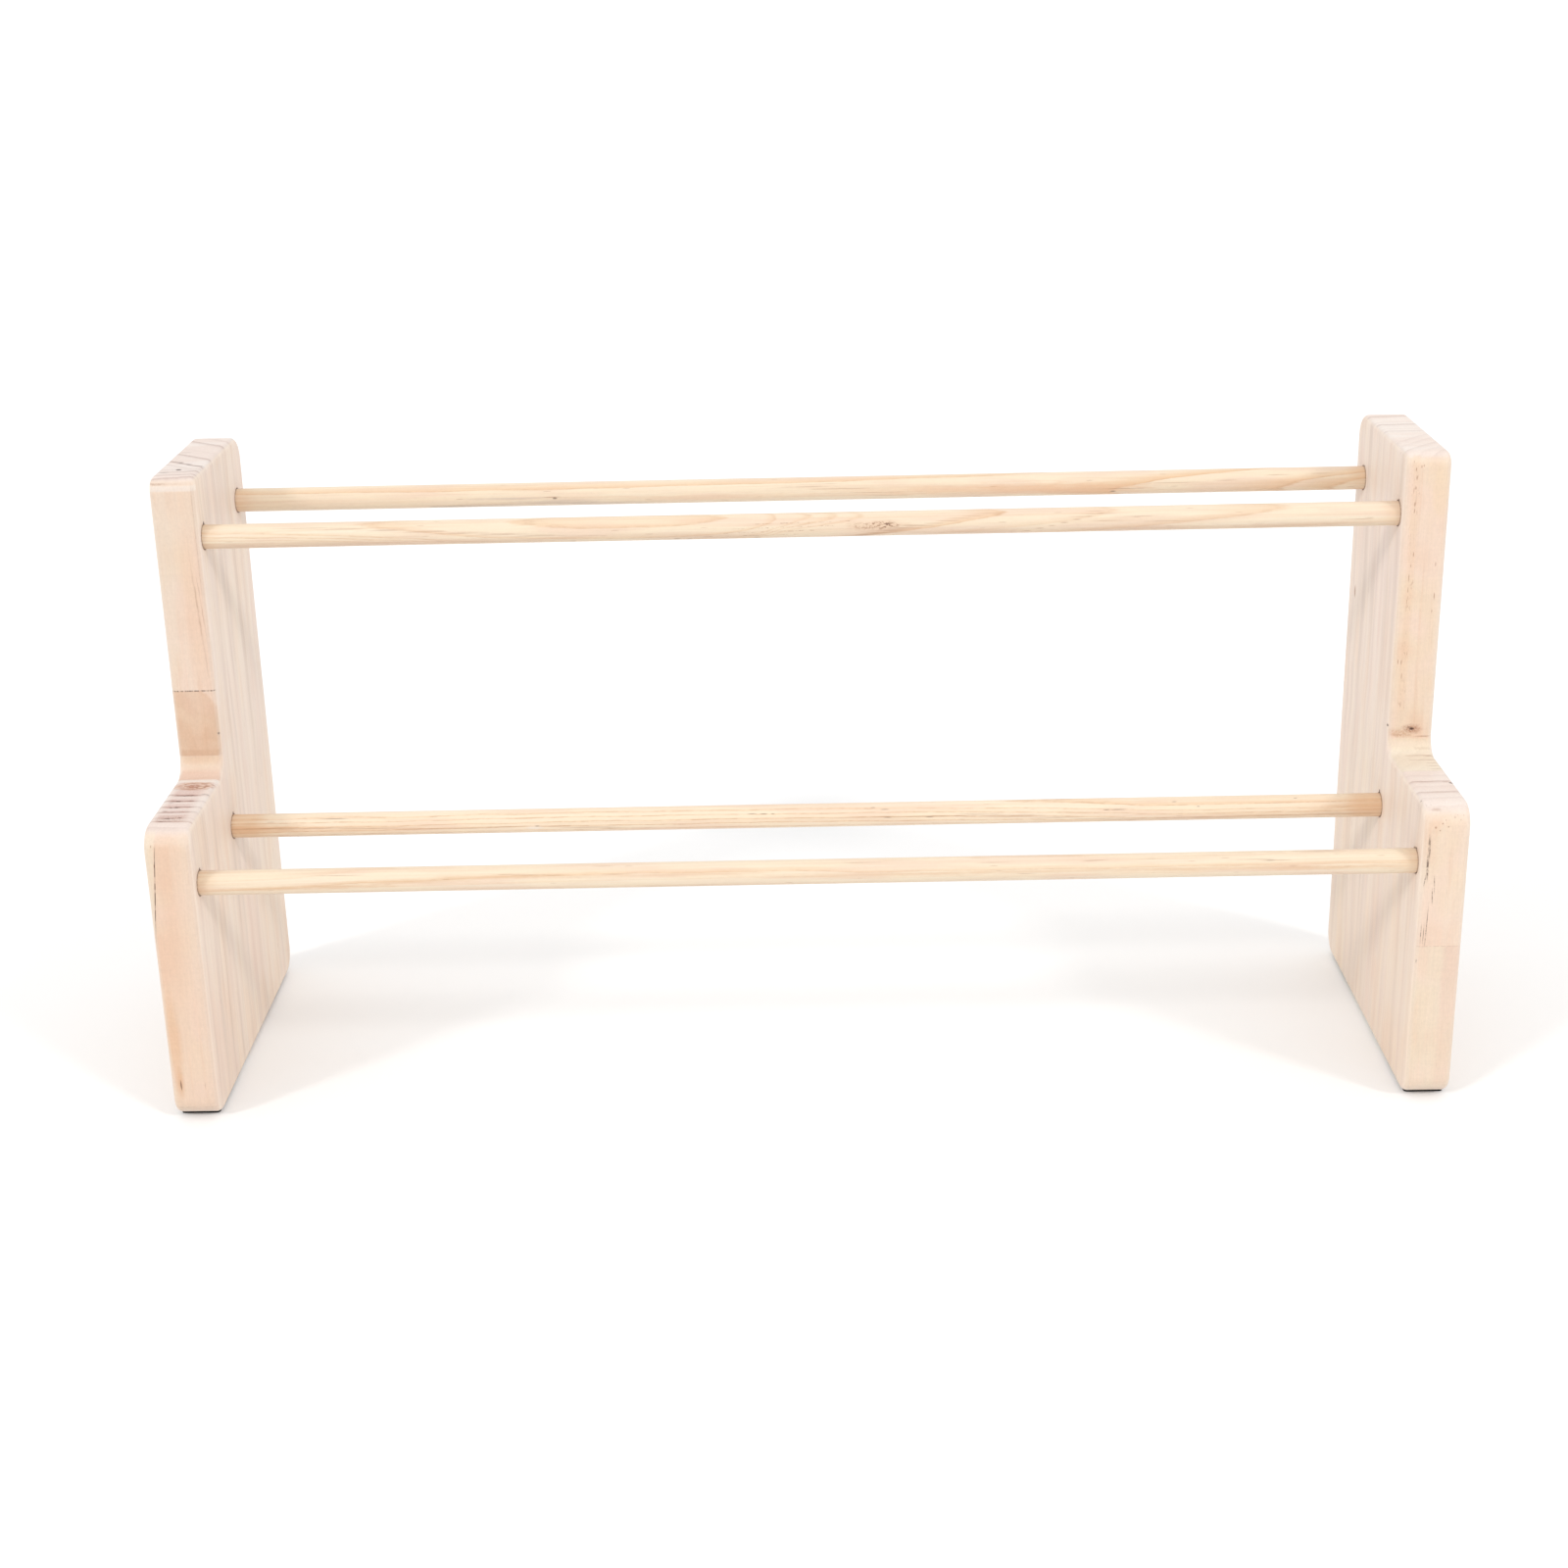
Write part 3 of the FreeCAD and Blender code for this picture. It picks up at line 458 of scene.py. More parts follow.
        # slit and short streaks
        slit_break = net.lerp(net.noise(net.vec(1.0, 2.0, net.mul(z, 0.33)), 1.0, 2.0, 0.6), 0.38, 0.5, 0.25, 1.0)
        dark.append(net.mul(blob(net, P, (-207.65, -61, 82.0), (0.13, 1.2, 15.5), shear=(0.097, 0), soft=0.45), slit_break))
        brown.append(blob(net, P, (-207.4, -61, 97.8), (0.16, 0.9, 0.5), soft=0.4))
        brown.append(blob(net, P, (-206.9, -61, 91.2), (0.14, 0.9, 0.6), soft=0.4))
        dark.append(net.mul(blob(net, P, (-206.7, -61, 13.4), (0.22, 0.9, 1.7), shear=(-0.03, 0), soft=0.5), 0.75))
        brown.append(net.mul(blob(net, P, (-198.8, -61, 13.0), (0.16, 0.9, 1.2), soft=0.7), 0.35))
        brown.append(net.mul(net.mul(on_low, band(net, z, 4.9, 0.15, 0.35)), net.mul(net.step(speck, 0.42, 0.6), 0.35)))
        dark.append(net.mul(blob(net, P, (-195.7, -7.3, 117.0), (0.35, 0.8, 0.45), soft=0.4), 0.8))
        dark.append(blob(net, P, (-202.7, 5.4, 204.0), (0.85, 0.80, 1.2), soft=0.4, wob=net.mul(wob_s, 0.4)))
        st = net.lerp(net.noise(net.vec(net.mul(x, 0.5), 5.0, net.mul(z, 0.16)), 1.0, 3.0, 0.6), 0.36, 0.58, 0.35, 1.0)
        wav = (net.mad(net.sub(net.noise(net.vec(2.0, 4.0, net.mul(z, 0.22)), 1.0, 2.0, 0.6), 0.5), 0.9, x), y, z)
        brown.append(net.mul(blob(net, wav, (-197.9, -7.5, 157.0), (0.24, 1.0, 15.0), shear=(-0.052, 0), soft=0.95), net.mul(st, 0.52)))
        brown.append(net.mul(blob(net, wav, (-196.8, -7.5, 161.0), (0.15, 1.0, 9.0), shear=(-0.06, 0), soft=0.95), net.mul(st, 0.46)))
        on_top = net.mul(end, net.step(z, 190.0, 200.0))
        for cx, cy, hx, hy, k in ((-204.6, 16.0, 0.9, 0.50, .8), (-201.0, 12.7, 0.8, 0.42, .75), (-206.6, 17.6, 1.6, 0.35, .45),
                                  (-197.6, 10.6, 2.2, 0.34, .5), (-202.8, 14.3, 2.4, 0.30, .4), (-198.0, 4.0, 1.8, 0.30, .35),
                                  (-206.6, 1.6, 1.4, 0.45, .4), (-206.6, 31.4, 1.8, 0.4, .3)):
            dark.append(net.mul(net.mul(on_top, blob(net, P, (cx, cy, 204.0), (hx, hy, 3.0), soft=0.7, wob=wob)), k))
        # dark ring that comes out at the top front arris
        rim = net.mul(band(net, z, 202.0, 0.16, 0.3), net.mul(net.step(y, -4.6, -5.6), net.step(x, -196.6, -198.4)))
        brown.append(net.mul(rim, net.mul(net.step(speck, 0.40, 0.56), net.lerp(x, -206.2, -204.2, 0.70, 0.22))))
        # painted highlight just under the top front arris of the upper tier
        base = net.mix(net.mul(net.mul(net.step(y, -4.0, -6.0), band(net, z, 200.6, 0.5, 0.7)), 0.5), base, rgb(250, 238, 226))
        # the knot that breaks the step's end grain
        on_step = net.mul(end, net.step(z, 110.0, 104.0))
        kx, ky, kz = -202.6, -19.9, 103.0
        k_w = net.mul(net.sub(net.noise(net.vec(net.mul(x, 0.45), net.mul(y, 0.45), net.mul(z, 0.3)), 1.0, 2.0, 0.5), 0.5), 2.6)
        kd = net.v("LENGTH", net.vec(net.mul(net.sub(x, kx), 0.62), net.sub(y, ky), net.mul(net.sub(z, kz), 0.35)))
        kd = net.add(kd, net.mad(wob, 0.8, k_w))
        kmask = net.mul(net.mul(net.step(kd, 4.9, 3.4), net.step(z, 92.0, 100.0)), net.mul(net.step(y, -24.6, -23.4), net.step(y, -15.6, -16.6)))
        kring = net.mad(net.m("SINE", net.mul(kd, 4.0)), 0.5, 0.5)
        kcol = net.mix(kring, rgb(192, 134, 106), rgb(229, 188, 164))
        kgrit = net.lerp(net.noise(net.vec(net.mul(x, 0.8), net.mul(y, 1.6), net.mul(z, 0.8)), 1.0, 3.0, 0.7), 0.34, 0.60, 0.45, 1.0)
        base = net.mix(net.mul(net.mul(kmask, kgrit), net.mixf(end, 0.25, 0.85)), base, kcol)
        heart_k = blob(net, P, (-202.7, -20.4, 103), (1.7, 1.7, 3), soft=0.7, wob=net.mul(wob, 1.0))
        base = net.mix(net.mul(net.mul(on_step, heart_k), net.mul(kgrit, 0.72)), base, rgb(172, 106, 78))
        eye = net.v("LENGTH", net.vec(net.mul(net.sub(x, -200.0), 0.72), net.sub(y, -21.2), 0.0))
        eye = net.add(eye, net.mul(wob, 0.35))
        brown.append(net.mul(on_step, net.mul(band(net, eye, 0.95, 0.14, 0.30), 0.60)))
        base = net.mix(net.mul(on_step, net.mul(net.step(eye, 0.8, 0.4), 0.6)), base, rgb(242, 214, 194))
        for cx, cy, hx, hy, k in ((-198.1, -20.3, 0.9, 0.45, .85), (-196.5, -19.0, 0.5, 0.35, .8), (-196.2, -21.0, 0.5, 0.3, .5),
                                  (-204.9, -22.6, 1.3, 0.28, .7), (-205.6, -19.6, 0.28, 2.0, .4), (-203.6, -17.3, 1.8, 0.28, .5),
                                  (-199.4, -17.6, 1.6, 0.26, .45), (-201.8, -23.4, 2.4, 0.26, .5)):
            brown.append(net.mul(net.mul(on_step, blob(net, P, (cx, cy, 103.0), (hx, hy, 2.5), soft=0.7, wob=wob)), k))
        base = net.mix(net.mul(net.mul(on_step, net.step(y, -14.2, -13.2)), 0.6), base, rgb(232, 186, 156))
        base = net.mix(net.mul(net.mul(on_step, band(net, y, -14.9, 0.45, 0.5)), 0.75), base, rgb(250, 240, 232))
        # dark resin in the late wood of the step, and the pink wood between
        inside = net.mul(net.step(x, -208.6, -206.4), net.step(x, -196.6, -200.6))
        flush = net.mul(on_step, net.mul(net.step(y, -53.6, -52.2), net.step(y, -22.0, -25.0)))
        base = net.mix(net.mul(net.mul(flush, inside), net.lerp(pore, 0.4, 0.62, 0.15, 0.6)), base, rgb(206, 152, 142))
        # each late-wood band: white wood just in front, then torn dark resin that is heaviest near the outer side
        r_gate = net.lerp(net.noise(net.vec(net.mul(x, 0.7), net.mul(y, 1.6), net.mul(z, 0.5)), 1.0, 3.0, 0.7), 0.40, 0.56, 0.10, 1.0)
        resin = net.mul(net.mul(flush, inside), net.mul(net.step(L, 0.30, 0.80), 0.55))
        brown.append(net.mul(resin, r_gate))
        for cx, cy, hx, hy, k in ((-203.0, -28.9, 3.4, 0.55, .80), (-197.0, -27.8, 1.2, 0.42, .50), (-204.3, -34.0, 1.9, 0.55, .85),
                                  (-200.6, -33.8, 1.8, 0.40, .45), (-204.1, -39.8, 1.5, 0.62, 1.0), (-200.2, -39.4, 2.8, 0.40, .40),
                                  (-203.0, -44.0, 3.4, 0.50, .42), (-197.8, -43.7, 1.8, 0.35, .35), (-203.8, -49.7, 1.5, 0.55, .70),
                                  (-200.3, -49.1, 0.5, 0.45, .70), (-205.2, -52.4, 1.3, 0.35, .65), (-202.6, -52.5, 0.9, 0.32, .60),
                                  (-206.6, -43.2, 0.8, 0.5, .4), (-206.3, -35.2, 0.8, 0.5, .4)):
            dark.append(net.mul(net.mul(on_step, blob(net, P, (cx, cy, 103.0), (hx, hy, 2.5), soft=0.8, wob=net.mul(wob, 1.3))), net.mul(r_gate, k)))
        for cy in (-30.6, -35.8, -41.6, -45.6, -51.0):
            pale = net.mul(net.mul(on_step, inside), band(net, net.mad(wob, 1.0, y), cy, 0.35, 0.6))
            base = net.mix(net.mul(pale, 0.55), base, rgb(252, 240, 232))
        thin_l = net.mul(net.mul(on_step, net.step(x, -203.0, -201.0)), band(net, net.mad(wob, 0.4, y), -52.9, 0.10, 0.30))
        brown.append(net.mul(thin_l, 0.5))
        dots = net.mul(net.mul(flush, net.step(y, -46.0, -48.0)), net.mul(inside, net.step(pore, 0.50, 0.60)))
        brown.append(net.mul(dots, 0.9))
    else:
        # the front stave changes block at a finger joint
        zj = 55.3
        in_front = net.inv(m1)
        low = net.mul(in_front, net.step(z, zj + 0.05, zj - 0.05))
        fade = net.lerp(net.noise(net.vec(net.mul(x, 0.25), 1.0, net.mul(z, 0.07)), 1.0, 2.0, 0.5), 0.38, 0.6, 1.0, 0.35)
        base = net.mix(net.mul(net.mul(low, fade), net.mixf(edge, 0.12, 0.65)), base, rgb(242, 222, 195))
        strip = net.mul(net.mul(low, edge), net.mul(net.step(net.add(x, net.mul(wob, 1.4)), 203.2, 205.2), net.lerp(z, 5.0, 50.0, 0.35, 1.0)))
        base = net.mix(net.mul(strip, 0.62), base, rgb(240, 206, 184))
        brown.append(net.mul(net.mul(net.mul(in_front, edge), band(net, z, zj, 0.06, 0.12)),
                             net.mul(0.35, net.step(net.noise(net.vec(net.mul(x, 0.9), 2.0, 3.0), 1.0, 2.0, 0.5), 0.42, 0.54))))
        # knot just above the step
        on_up = net.mul(edge, net.step(y, 3.0, -3.0))
        kx, kz = 202.9, 110.6
        kd = net.v("LENGTH", net.vec(net.mul(net.sub(x, kx), 0.50), net.mul(net.sub(y, -7.5), 0.25), net.sub(z, kz)))
        kd = net.add(kd, net.mul(wob, 1.6))
        halo = net.step(kd, 2.2, 0.5)
        grit = net.lerp(net.noise(p, 1.6, 3.0, 0.7), 0.36, 0.62, 0.25, 1.0)
        base = net.mix(net.mul(net.mul(halo, grit), net.mul(on_up, 0.9)), base, rgb(178, 118, 86))
        smear = blob(net, P, (198.9, -7.5, 109.0), (3.4, 3.0, 1.5), shear=(-0.9, 0), soft=0.6, wob=net.mul(wob, 0.9))
        base = net.mix(net.mul(net.mul(net.mul(smear, grit), on_up), net.mul(net.step(z, 107.3, 107.9), 0.62)), base, rgb(212, 158, 118))
        brown.append(net.mul(net.mul(on_up, blob(net, P, (198.8, -7.5, 108.6), (2.4, 2.5, 0.22), soft=0.9, wob=wob_s)), net.mul(grit, 0.5)))
        brown.append(net.mul(net.mul(on_up, blob(net, P, (206.8, -7.5, 108.0), (2.3, 2.5, 0.22), soft=0.8, wob=wob_s)), 0.6))
        dark.append(net.mul(on_up, blob(net, P, (202.9, -7.5, 110.7), (0.75, 1.4, 0.42), soft=0.5, wob=net.mul(wob_s, 1.1))))
        dark.append(net.mul(net.mul(on_up, blob(net, P, (202.0, -7.5, 111.2), (0.5, 1.4, 0.2), soft=0.5, wob=wob_s)), 0.6))
        below = net.mul(edge, net.mul(net.step(z, 107.6, 107.0), net.mul(net.step(z, 100.0, 104.0), net.step(y, 2.0, -2.0))))
        base = net.mix(net.mul(below, 0.55), base, rgb(243, 221, 190))
        brown.append(net.mul(blob(net, P, (195.0, 51.0, 141.8), (1.0, 0.9, 2.0), soft=0.5), 0.9))
        dark.append(blob(net, P, (195.3, -6.2, 111.7), (0.4, 0.45, 0.45), soft=0.4))
        warm = net.mul(on_up, blob(net, P, (207.0, -7.5, 191.5), (2.6, 4.0, 8.5), soft=0.35, wob=net.mul(wob, 0.3)))
        base = net.mix(net.mul(warm, 0.4), base, rgb(248, 216, 178))
        # a loose row of short brown fibres down the inner part of the front edge
        row = net.mul(net.mul(on_up, net.step(z, 112.0, 122.0)), band(net, net.mad(fine, 0.5, x), 198.8, 0.6, 1.2))
        row_n = net.noise(net.vec(net.mul(x, 2.4), net.mul(y, 0.5), net.mul(z, 0.42)), 1.0, 2.0, 0.65)
        row_z = net.lerp(net.noise(net.vec(0.3, 0.7, net.mul(z, 0.05)), 1.0, 1.0, 0.5), 0.42, 0.58, 0.25, 1.0)
        brown.append(net.mul(net.mul(row, row_z), net.mul(net.step(row_n, 0.585, 0.66), 0.55)))
        base = net.mix(net.mul(row, 0.30), base, rgb(243, 203, 166))
        # resin ducts in rows down the front edges
        for cx, za, zb, w in ((197.7, 201.7, 200.9, .14), (200.1, 200.2, 199.2, .15), (200.8, 200.4, 199.6, .13),
                              (198.4, 199.4, 198.3, .17), (198.8, 196.8, 195.4, .18), (198.7, 193.2, 192.2, .16),
                              (198.7, 188.1, 186.6, .17), (198.7, 185.9, 184.4, .15),
                              (199.4, 171.4, 169.9, .15), (198.8, 167.4, 166.4, .11), (198.4, 164.0, 161.6, .12),
                              (196.8, 135.0, 133.4, .13), (197.9, 134.8, 133.2, .14), (198.3, 130.2, 128.2, .13),
                              (206.8, 168.0, 166.6, .12), (207.1, 157.6, 155.4, .16), (206.7, 152.0, 150.8, .12)):
            brown.append(net.mul(blob(net, P, (cx, -7.5, (za + zb) / 2), (w, 1.2, abs(za - zb) / 2), soft=0.5), 0.8))
        for cx, za, zb, w, sh in ((197.0, 86.8, 79.0, .30, -0.03), (197.3, 92.5, 86.0, .16, -0.02), (196.9, 94.0, 88.0, .09, 0.0), (196.5, 80.2, 76.5, .13, 0.12),
                                  (199.6, 79.5, 74.2, .10, -0.06), (199.2, 75.0, 70.2, .12, -0.05),
                                  (198.1, 68.2, 55.7, .10, 0.02), (197.3, 62.5, 56.6, .07, 0.01),
                                  (196.5, 62.5, 57.0, .07, 0.0), (195.8, 50.6, 49.2, .16, 0.0)):
            dark.append(net.mul(blob(net, P, (cx, -61.0, (za + zb) / 2), (w, 1.2, abs(za - zb) / 2), shear=(sh, 0), soft=0.6),
                                net.lerp(net.noise(net.vec(net.mul(x, 0.9), 3.0, net.mul(z, 0.75)), 1.0, 3.0, 0.7), 0.40, 0.54, 0.15, 0.95)))
        # sapwood tint on the step, fine brown lines in its outer half
        on_step = net.mul(end, net.step(z, 110.0, 104.0))
        yellow = net.mul(on_step, net.step(y, -28.5, -26.5))
        base = net.mix(net.mul(yellow, 0.50), base, rgb(244, 226, 196))
        pink = net.mul(on_step, net.step(y, -26.5, -28.5))
        base = net.mix(net.mul(pink, 0.18), base, rgb(236, 206, 194))
        for cy, xa, k in ((-9.6, 203.0, .25), (-12.8, 199.5, .40), (-16.9, 199.8, .34), (-20.0, 204.6, .32), (-22.9, 204.6, .32), (-25.7, 204.6, .30)):
            brown.append(net.mul(net.mul(on_step, band(net, net.mad(wob, 0.6, y), cy, 0.14, 0.42)), net.mul(net.step(x, xa, xa + 1.5), k)))
        for cx, cy, hx, hy, k in ((207.6, -13.1, 1.6, 0.40, .65), (207.6, -17.2, 1.4, 0.3, .4), (207.2, -38.0, 0.9, 0.5, .35), (200.2, -37.6, 3.6, 0.35, .30),
                                  (203.5, -47.4, 5.6, 0.28, .30)):
            brown.append(net.mul(net.mul(on_step, blob(net, P, (cx, cy, 103.0), (hx, hy, 2.5), soft=0.7, wob=wob)), k))
        dark.append(net.mul(blob(net, P, (208.5, -39.0, 103.0), (0.6, 0.6, 1.5), soft=0.4, wob=net.mul(wob_s, 0.5)), 0.8))
        dark.append(net.mul(blob(net, P, (195.1, -53.3, 102.6), (0.6, 0.45, 0.6), soft=0.4), 0.75))
        # torn fibres along the arris and a scatter of specks below it
        for cx, cz, hx, hz, k in ((196.3, 102.2, 0.42, 0.42, .85), (197.8, 102.3, 0.36, 0.36, .8), (195.4, 101.9, 0.3, 0.3, .5),
                                  (199.4, 102.6, 1.4, 0.24, .55)):
            dark.append(net.mul(blob(net, P, (cx, -60.0, cz), (hx, 3.0, hz), soft=0.5, wob=net.mul(wob_s, 0.5)), k))
        brown.append(net.mul(blob(net, P, (199.2, -60.5, 101.2), (1.6, 3.0, 0.38), soft=0.7, wob=wob), 0.65))
        for cx, cz, r in ((198.7, 96.2, .34), (200.9, 97.4, .26), (202.7, 96.4, .24), (204.8, 99.2, .34), (205.7, 99.8, .26), (207.6, 99.7, .30),
                          (203.6, 99.9, .22), (201.9, 98.4, .20), (200.1, 95.2, .22), (206.6, 98.4, .18)):
            brown.append(net.mul(blob(net, P, (cx, -61.0, cz), (r, 1.6, r), soft=0.5, wob=net.mul(wob_s, 0.6)), 0.75))

    # scattered resin ducts, short dark dashes along the fibres
    dd, dc = net.voronoi(net.vec(net.mul(x, 0.42), net.mul(y, 0.42), net.mul(z, 0.055)), 1.0)
    duct = net.mul(net.step(dd, 0.10, 0.03), net.inv(end))
    duct = net.mul(duct, net.step(net.noise(net.vec(net.mul(x, 0.1), net.mul(y, 0.1), net.mul(z, 0.02)), 1.0, 1.0, 0.5), 0.5, 0.62))
    brown.append(net.mul(duct, net.mixf(edge, 0.45, 0.20)))

    dark_m = total(net, dark)
    brown_m = total(net, brown)
    base = net.mix(net.mul(glue, net.mixf(end, 0.12, 0.30)), base, rgb(205, 170, 146))
    base = net.mix(net.mul(brown_m, 0.78), base, rgb(164, 112, 82))
    base = net.mix(net.mul(dark_m, 0.90), base, rgb(66, 38, 28))
    # the rounded arrises lighter: partly wear, partly a painted highlight
    base = net.mix(net.mul(round_, net.mul(net.inv(end), 0.25)), base, rgb(250, 234, 216))
    # fibre, speckle and saw-mark tone
    tone = net.mad(net.sub(fib, 0.5), net.mixf(end, 0.15, 0.08), 1.0)
    tone = net.mad(net.sub(speck, 0.5), net.mixf(end, net.mixf(edge, 0.10, 0.17), 0.20), tone)
    tone = net.mad(net.sub(saw, 0.5), net.mul(edge, 0.07), tone)
    tone = net.mad(net.sub(pore, 0.5), net.mixf(end, 0.05, 0.16), tone)
    base = net.mix(1.0, base, net.vec(tone, tone, tone), "MULTIPLY")
    # per-face gains: partly the wood's own darker edge and end grain, partly painted shade that evens the light between
    # faces
    gain = net.mix(end, net.mix(edge, GAIN_SIDE, GAIN_EDGE), GAIN_END)
    base = net.mix(1.0, base, gain, "MULTIPLY")
    # painted light: the right panel's edge and end faces lighter
    if side > 0:
        base = net.mix(net.mx(edge, end), base, net.mix(1.0, base, (1.036, 1.036, 1.026, 1), "MULTIPLY"))

    net.put(net.bsdf.inputs["Base Color"], base)
    rough = net.mad(net.sub(fib, 0.5), 0.22, 0.56)
    rough = net.mad(L, -0.06, rough)
    rough = net.add(rough, net.mul(net.mx(dark_m, end), 0.10))
    rough = net.sub(rough, net.mul(round_, 0.06))
    net.put(net.bsdf.inputs["Roughness"], rough)
    net.bsdf.inputs["Specular IOR Level"].default_value = 0.35
    h = net.mad(fib, net.mixf(end, 1.0, 0.25), net.mul(L, 0.5))
    h = net.mad(pore, net.mixf(end, 0.15, 0.7), h)
    h = net.mad(saw, net.mul(edge, 0.5), h)
    h = net.sub(h, net.mul(dark_m, 4.0))
    h = net.sub(h, net.mul(glue, 0.6))
    net.put(net.bsdf.inputs["Normal"], net.bump(h, 0.00006, 0.55))
    return net.mat


# colour gains by face; the lower edge and end gains are partly the wood's own darker grain, partly painted shade; one
# gain for the rods
GAIN_SIDE = (0.856, 0.876, 0.890, 1)
GAIN_EDGE = (0.745, 0.765, 0.80, 1)
GAIN_END = (0.775, 0.790, 0.782, 1)
GAIN_ROD = (0.766, 0.769, 0.762, 1)


# ------------------------------------------------------------------ rod wood
CAM_EL = {"upper_back_rod": 13.4, "upper_front_rod": 14.2, "lower_back_rod": 21.1, "lower_front_rod": 22.4}


def rod_wood(name, node, turn, drift_pts, bounds, sap=rgb(253, 233, 206), late=rgb(240, 197, 154),
             line=rgb(206, 160, 124), extra=None, seed=0.0, lined=0.0, rim_at=(187.0, 195.0, 0.5), gain=1.0):
    """turn: degrees above straight forward that the ring normal points."""
    net = Net(name)
    p, nor = common(net)
    lo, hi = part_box(node)
    cy, cz = (lo[1] + hi[1]) / 2 / MM, (lo[2] + hi[2]) / 2 / MM
    x, yy, zz = net.xyz(p)
    y, z = net.sub(yy, cy), net.sub(zz, cz)
    nx, ny, nz = net.xyz(nor)
    end = net.step(net.m("ABSOLUTE", nx), 0.6, 0.9)
    a = math.radians(turn)
    f = net.add(net.mul(y, -math.cos(a)), net.mul(z, math.sin(a)))
    f = net.add(f, net.curve(x, drift_pts))
    wander = net.noise(net.vec(net.mul(x, 0.03), net.mad(y, 0.25, seed), net.mul(z, 0.25)), 1.0, 3.0, 0.55)
    f = net.mad(net.sub(wander, 0.5), 1.3, f)
    fine = net.noise(net.vec(net.mul(x, 0.16), net.mad(y, 1.4, seed), net.mul(z, 1.4)), 1.0, 3.0, 0.6)
    f = net.mad(net.sub(fine, 0.5), 0.40, f)
    P = (x, y, z)

    def at(px, fr):
        """Centre of a mark at px along the rod, fr of the way down its seen side."""
        q = math.radians(CAM_EL[node] + 80.0 * (1 - 2 * fr))
        return (px, -4.0 * math.cos(q), 4.0 * math.sin(q))

    def mark(px, fr, half_len, half_w, soft=0.6, wob=None):
        return blob(net, P, at(px, fr), (half_len, half_w, half_w), soft=soft, wob=wob)

    lo_f = min(b[0] for b in bounds) - 6
    hi_f = max(b[0] for b in bounds) + 6
    span = hi_f - lo_f

    def profile(rise_of, strength_of):
        stops = [(0.0, 0.0)]
        for b, s, rise in sorted(bounds):
            stops.append(((b - 0.10 - lo_f) / span, 0.0))
            stops.append(((b - lo_f) / span, strength_of(s)))
            stops.append(((b + rise_of(rise) - lo_f) / span, 0.0))
        stops.append((1.0, 0.0))
        clean, last = [], -1.0
        for q, s in stops:
            q = max(q, last + 1e-4)
            clean.append((q, s))
            last = q
        assert len(clean) <= 32
        return net.ramp(net.lerp(f, lo_f, hi_f, 0.0, 1.0), clean)

    L = profile(lambda r: r, lambda s: s)
    E = profile(lambda r: min(r, 0.30), lambda s: min(1.0, s * 1.3))
    fib = net.noise(net.vec(net.mul(x, 0.05), net.mad(y, 3.0, seed), net.mul(z, 3.0)), 1.0, 4.0, 0.6)
    streak = net.noise(net.vec(net.mul(x, 0.014), net.mad(y, 0.9, seed), net.mul(z, 0.9)), 1.0, 3.0, 0.6)
    tint = net.noise(net.vec(net.mul(x, 0.022), net.mad(y, 0.22, seed + 4.0), net.mul(z, 0.22)), 1.0, 2.0, 0.5)
    speck = net.noise(net.vec(net.mul(x, 0.7), net.mad(y, 1.6, seed), net.mul(z, 1.6)), 1.0, 3.0, 0.7)
    base = net.ramp(tint, [(0.36, rgb(252, 231, 206)), (0.48, sap), (0.62, rgb(249, 223, 199))])
    base = net.mix(net.mul(net.step(streak, 0.50, 0.68), 0.45), base, rgb(238, 206, 178))
    base = net.mix(net.mul(net.step(streak, 0.44, 0.32), 0.45), base, rgb(254, 241, 220))
    base = net.mix(net.mul(L, 0.88), base, late)
    gate = net.lerp(net.noise(net.vec(net.mul(x, 0.22), net.mad(y, 0.6, seed), net.mul(z, 0.6)), 1.0, 2.0, 0.6), 0.42, 0.58, 0.15, 1.0)
    base = net.mix(net.mul(net.mul(E, gate), 0.35 + 0.60 * lined), base, line)
    # tan towards the ends, next to the sockets
    rim = net.step(net.m("ABSOLUTE", x), rim_at[0], rim_at[1])
    base = net.mix(net.mul(rim, net.lerp(streak, 0.35, 0.62, rim_at[2] * 0.5, rim_at[2])), base, rgb(234, 190, 150))
    # painted shade: a dark band round each rod where it enters the gap of its socket
    socket_gap_shade = net.mul(band(net, net.m("ABSOLUTE", x), 195.1, 0.12, 0.35), net.lerp(speck, 0.38, 0.6, 0.15, 0.6))
    base = net.mix(socket_gap_shade, base, rgb(150, 100, 70))
    brown, dark = [], []
    if extra is not None:
        base = extra(net, P, base, brown, dark, dict(mark=mark, at=at, fine=fine, speck=speck, fib=fib, L=L, E=E,
                                                     streak=streak, x=x))
    dd, dc = net.voronoi(net.vec(net.mul(x, 0.06), net.mad(y, 0.6, seed), net.mul(z, 0.6)), 1.0)
    duct = net.mul(net.step(dd, 0.11, 0.05), net.inv(end))
    brown.append(net.mul(duct, 0.45))
    bm = total(net, brown)
    base = net.mix(net.mul(bm, 0.70), base, rgb(168, 114, 80))
    if dark:
        dm = total(net, dark)
        base = net.mix(net.mul(dm, 0.85), base, rgb(84, 52, 38))
    base = net.mix(net.mul(end, 0.5), base, rgb(226, 196, 160))
    tone = net.mad(net.sub(fib, 0.5), 0.15, 1.0)
    tone = net.mad(net.sub(speck, 0.5), 0.10, tone)
    base = net.mix(1.0, base, net.vec(tone, tone, tone), "MULTIPLY")
    base = net.mix(1.0, base, tuple(q * gain for q in GAIN_ROD[:3]) + (1.0,), "MULTIPLY")
    net.put(net.bsdf.inputs["Base Color"], base)
    net.put(net.bsdf.inputs["Roughness"], net.mad(net.sub(fib, 0.5), 0.2, net.mad(L, -0.05, 0.47)))
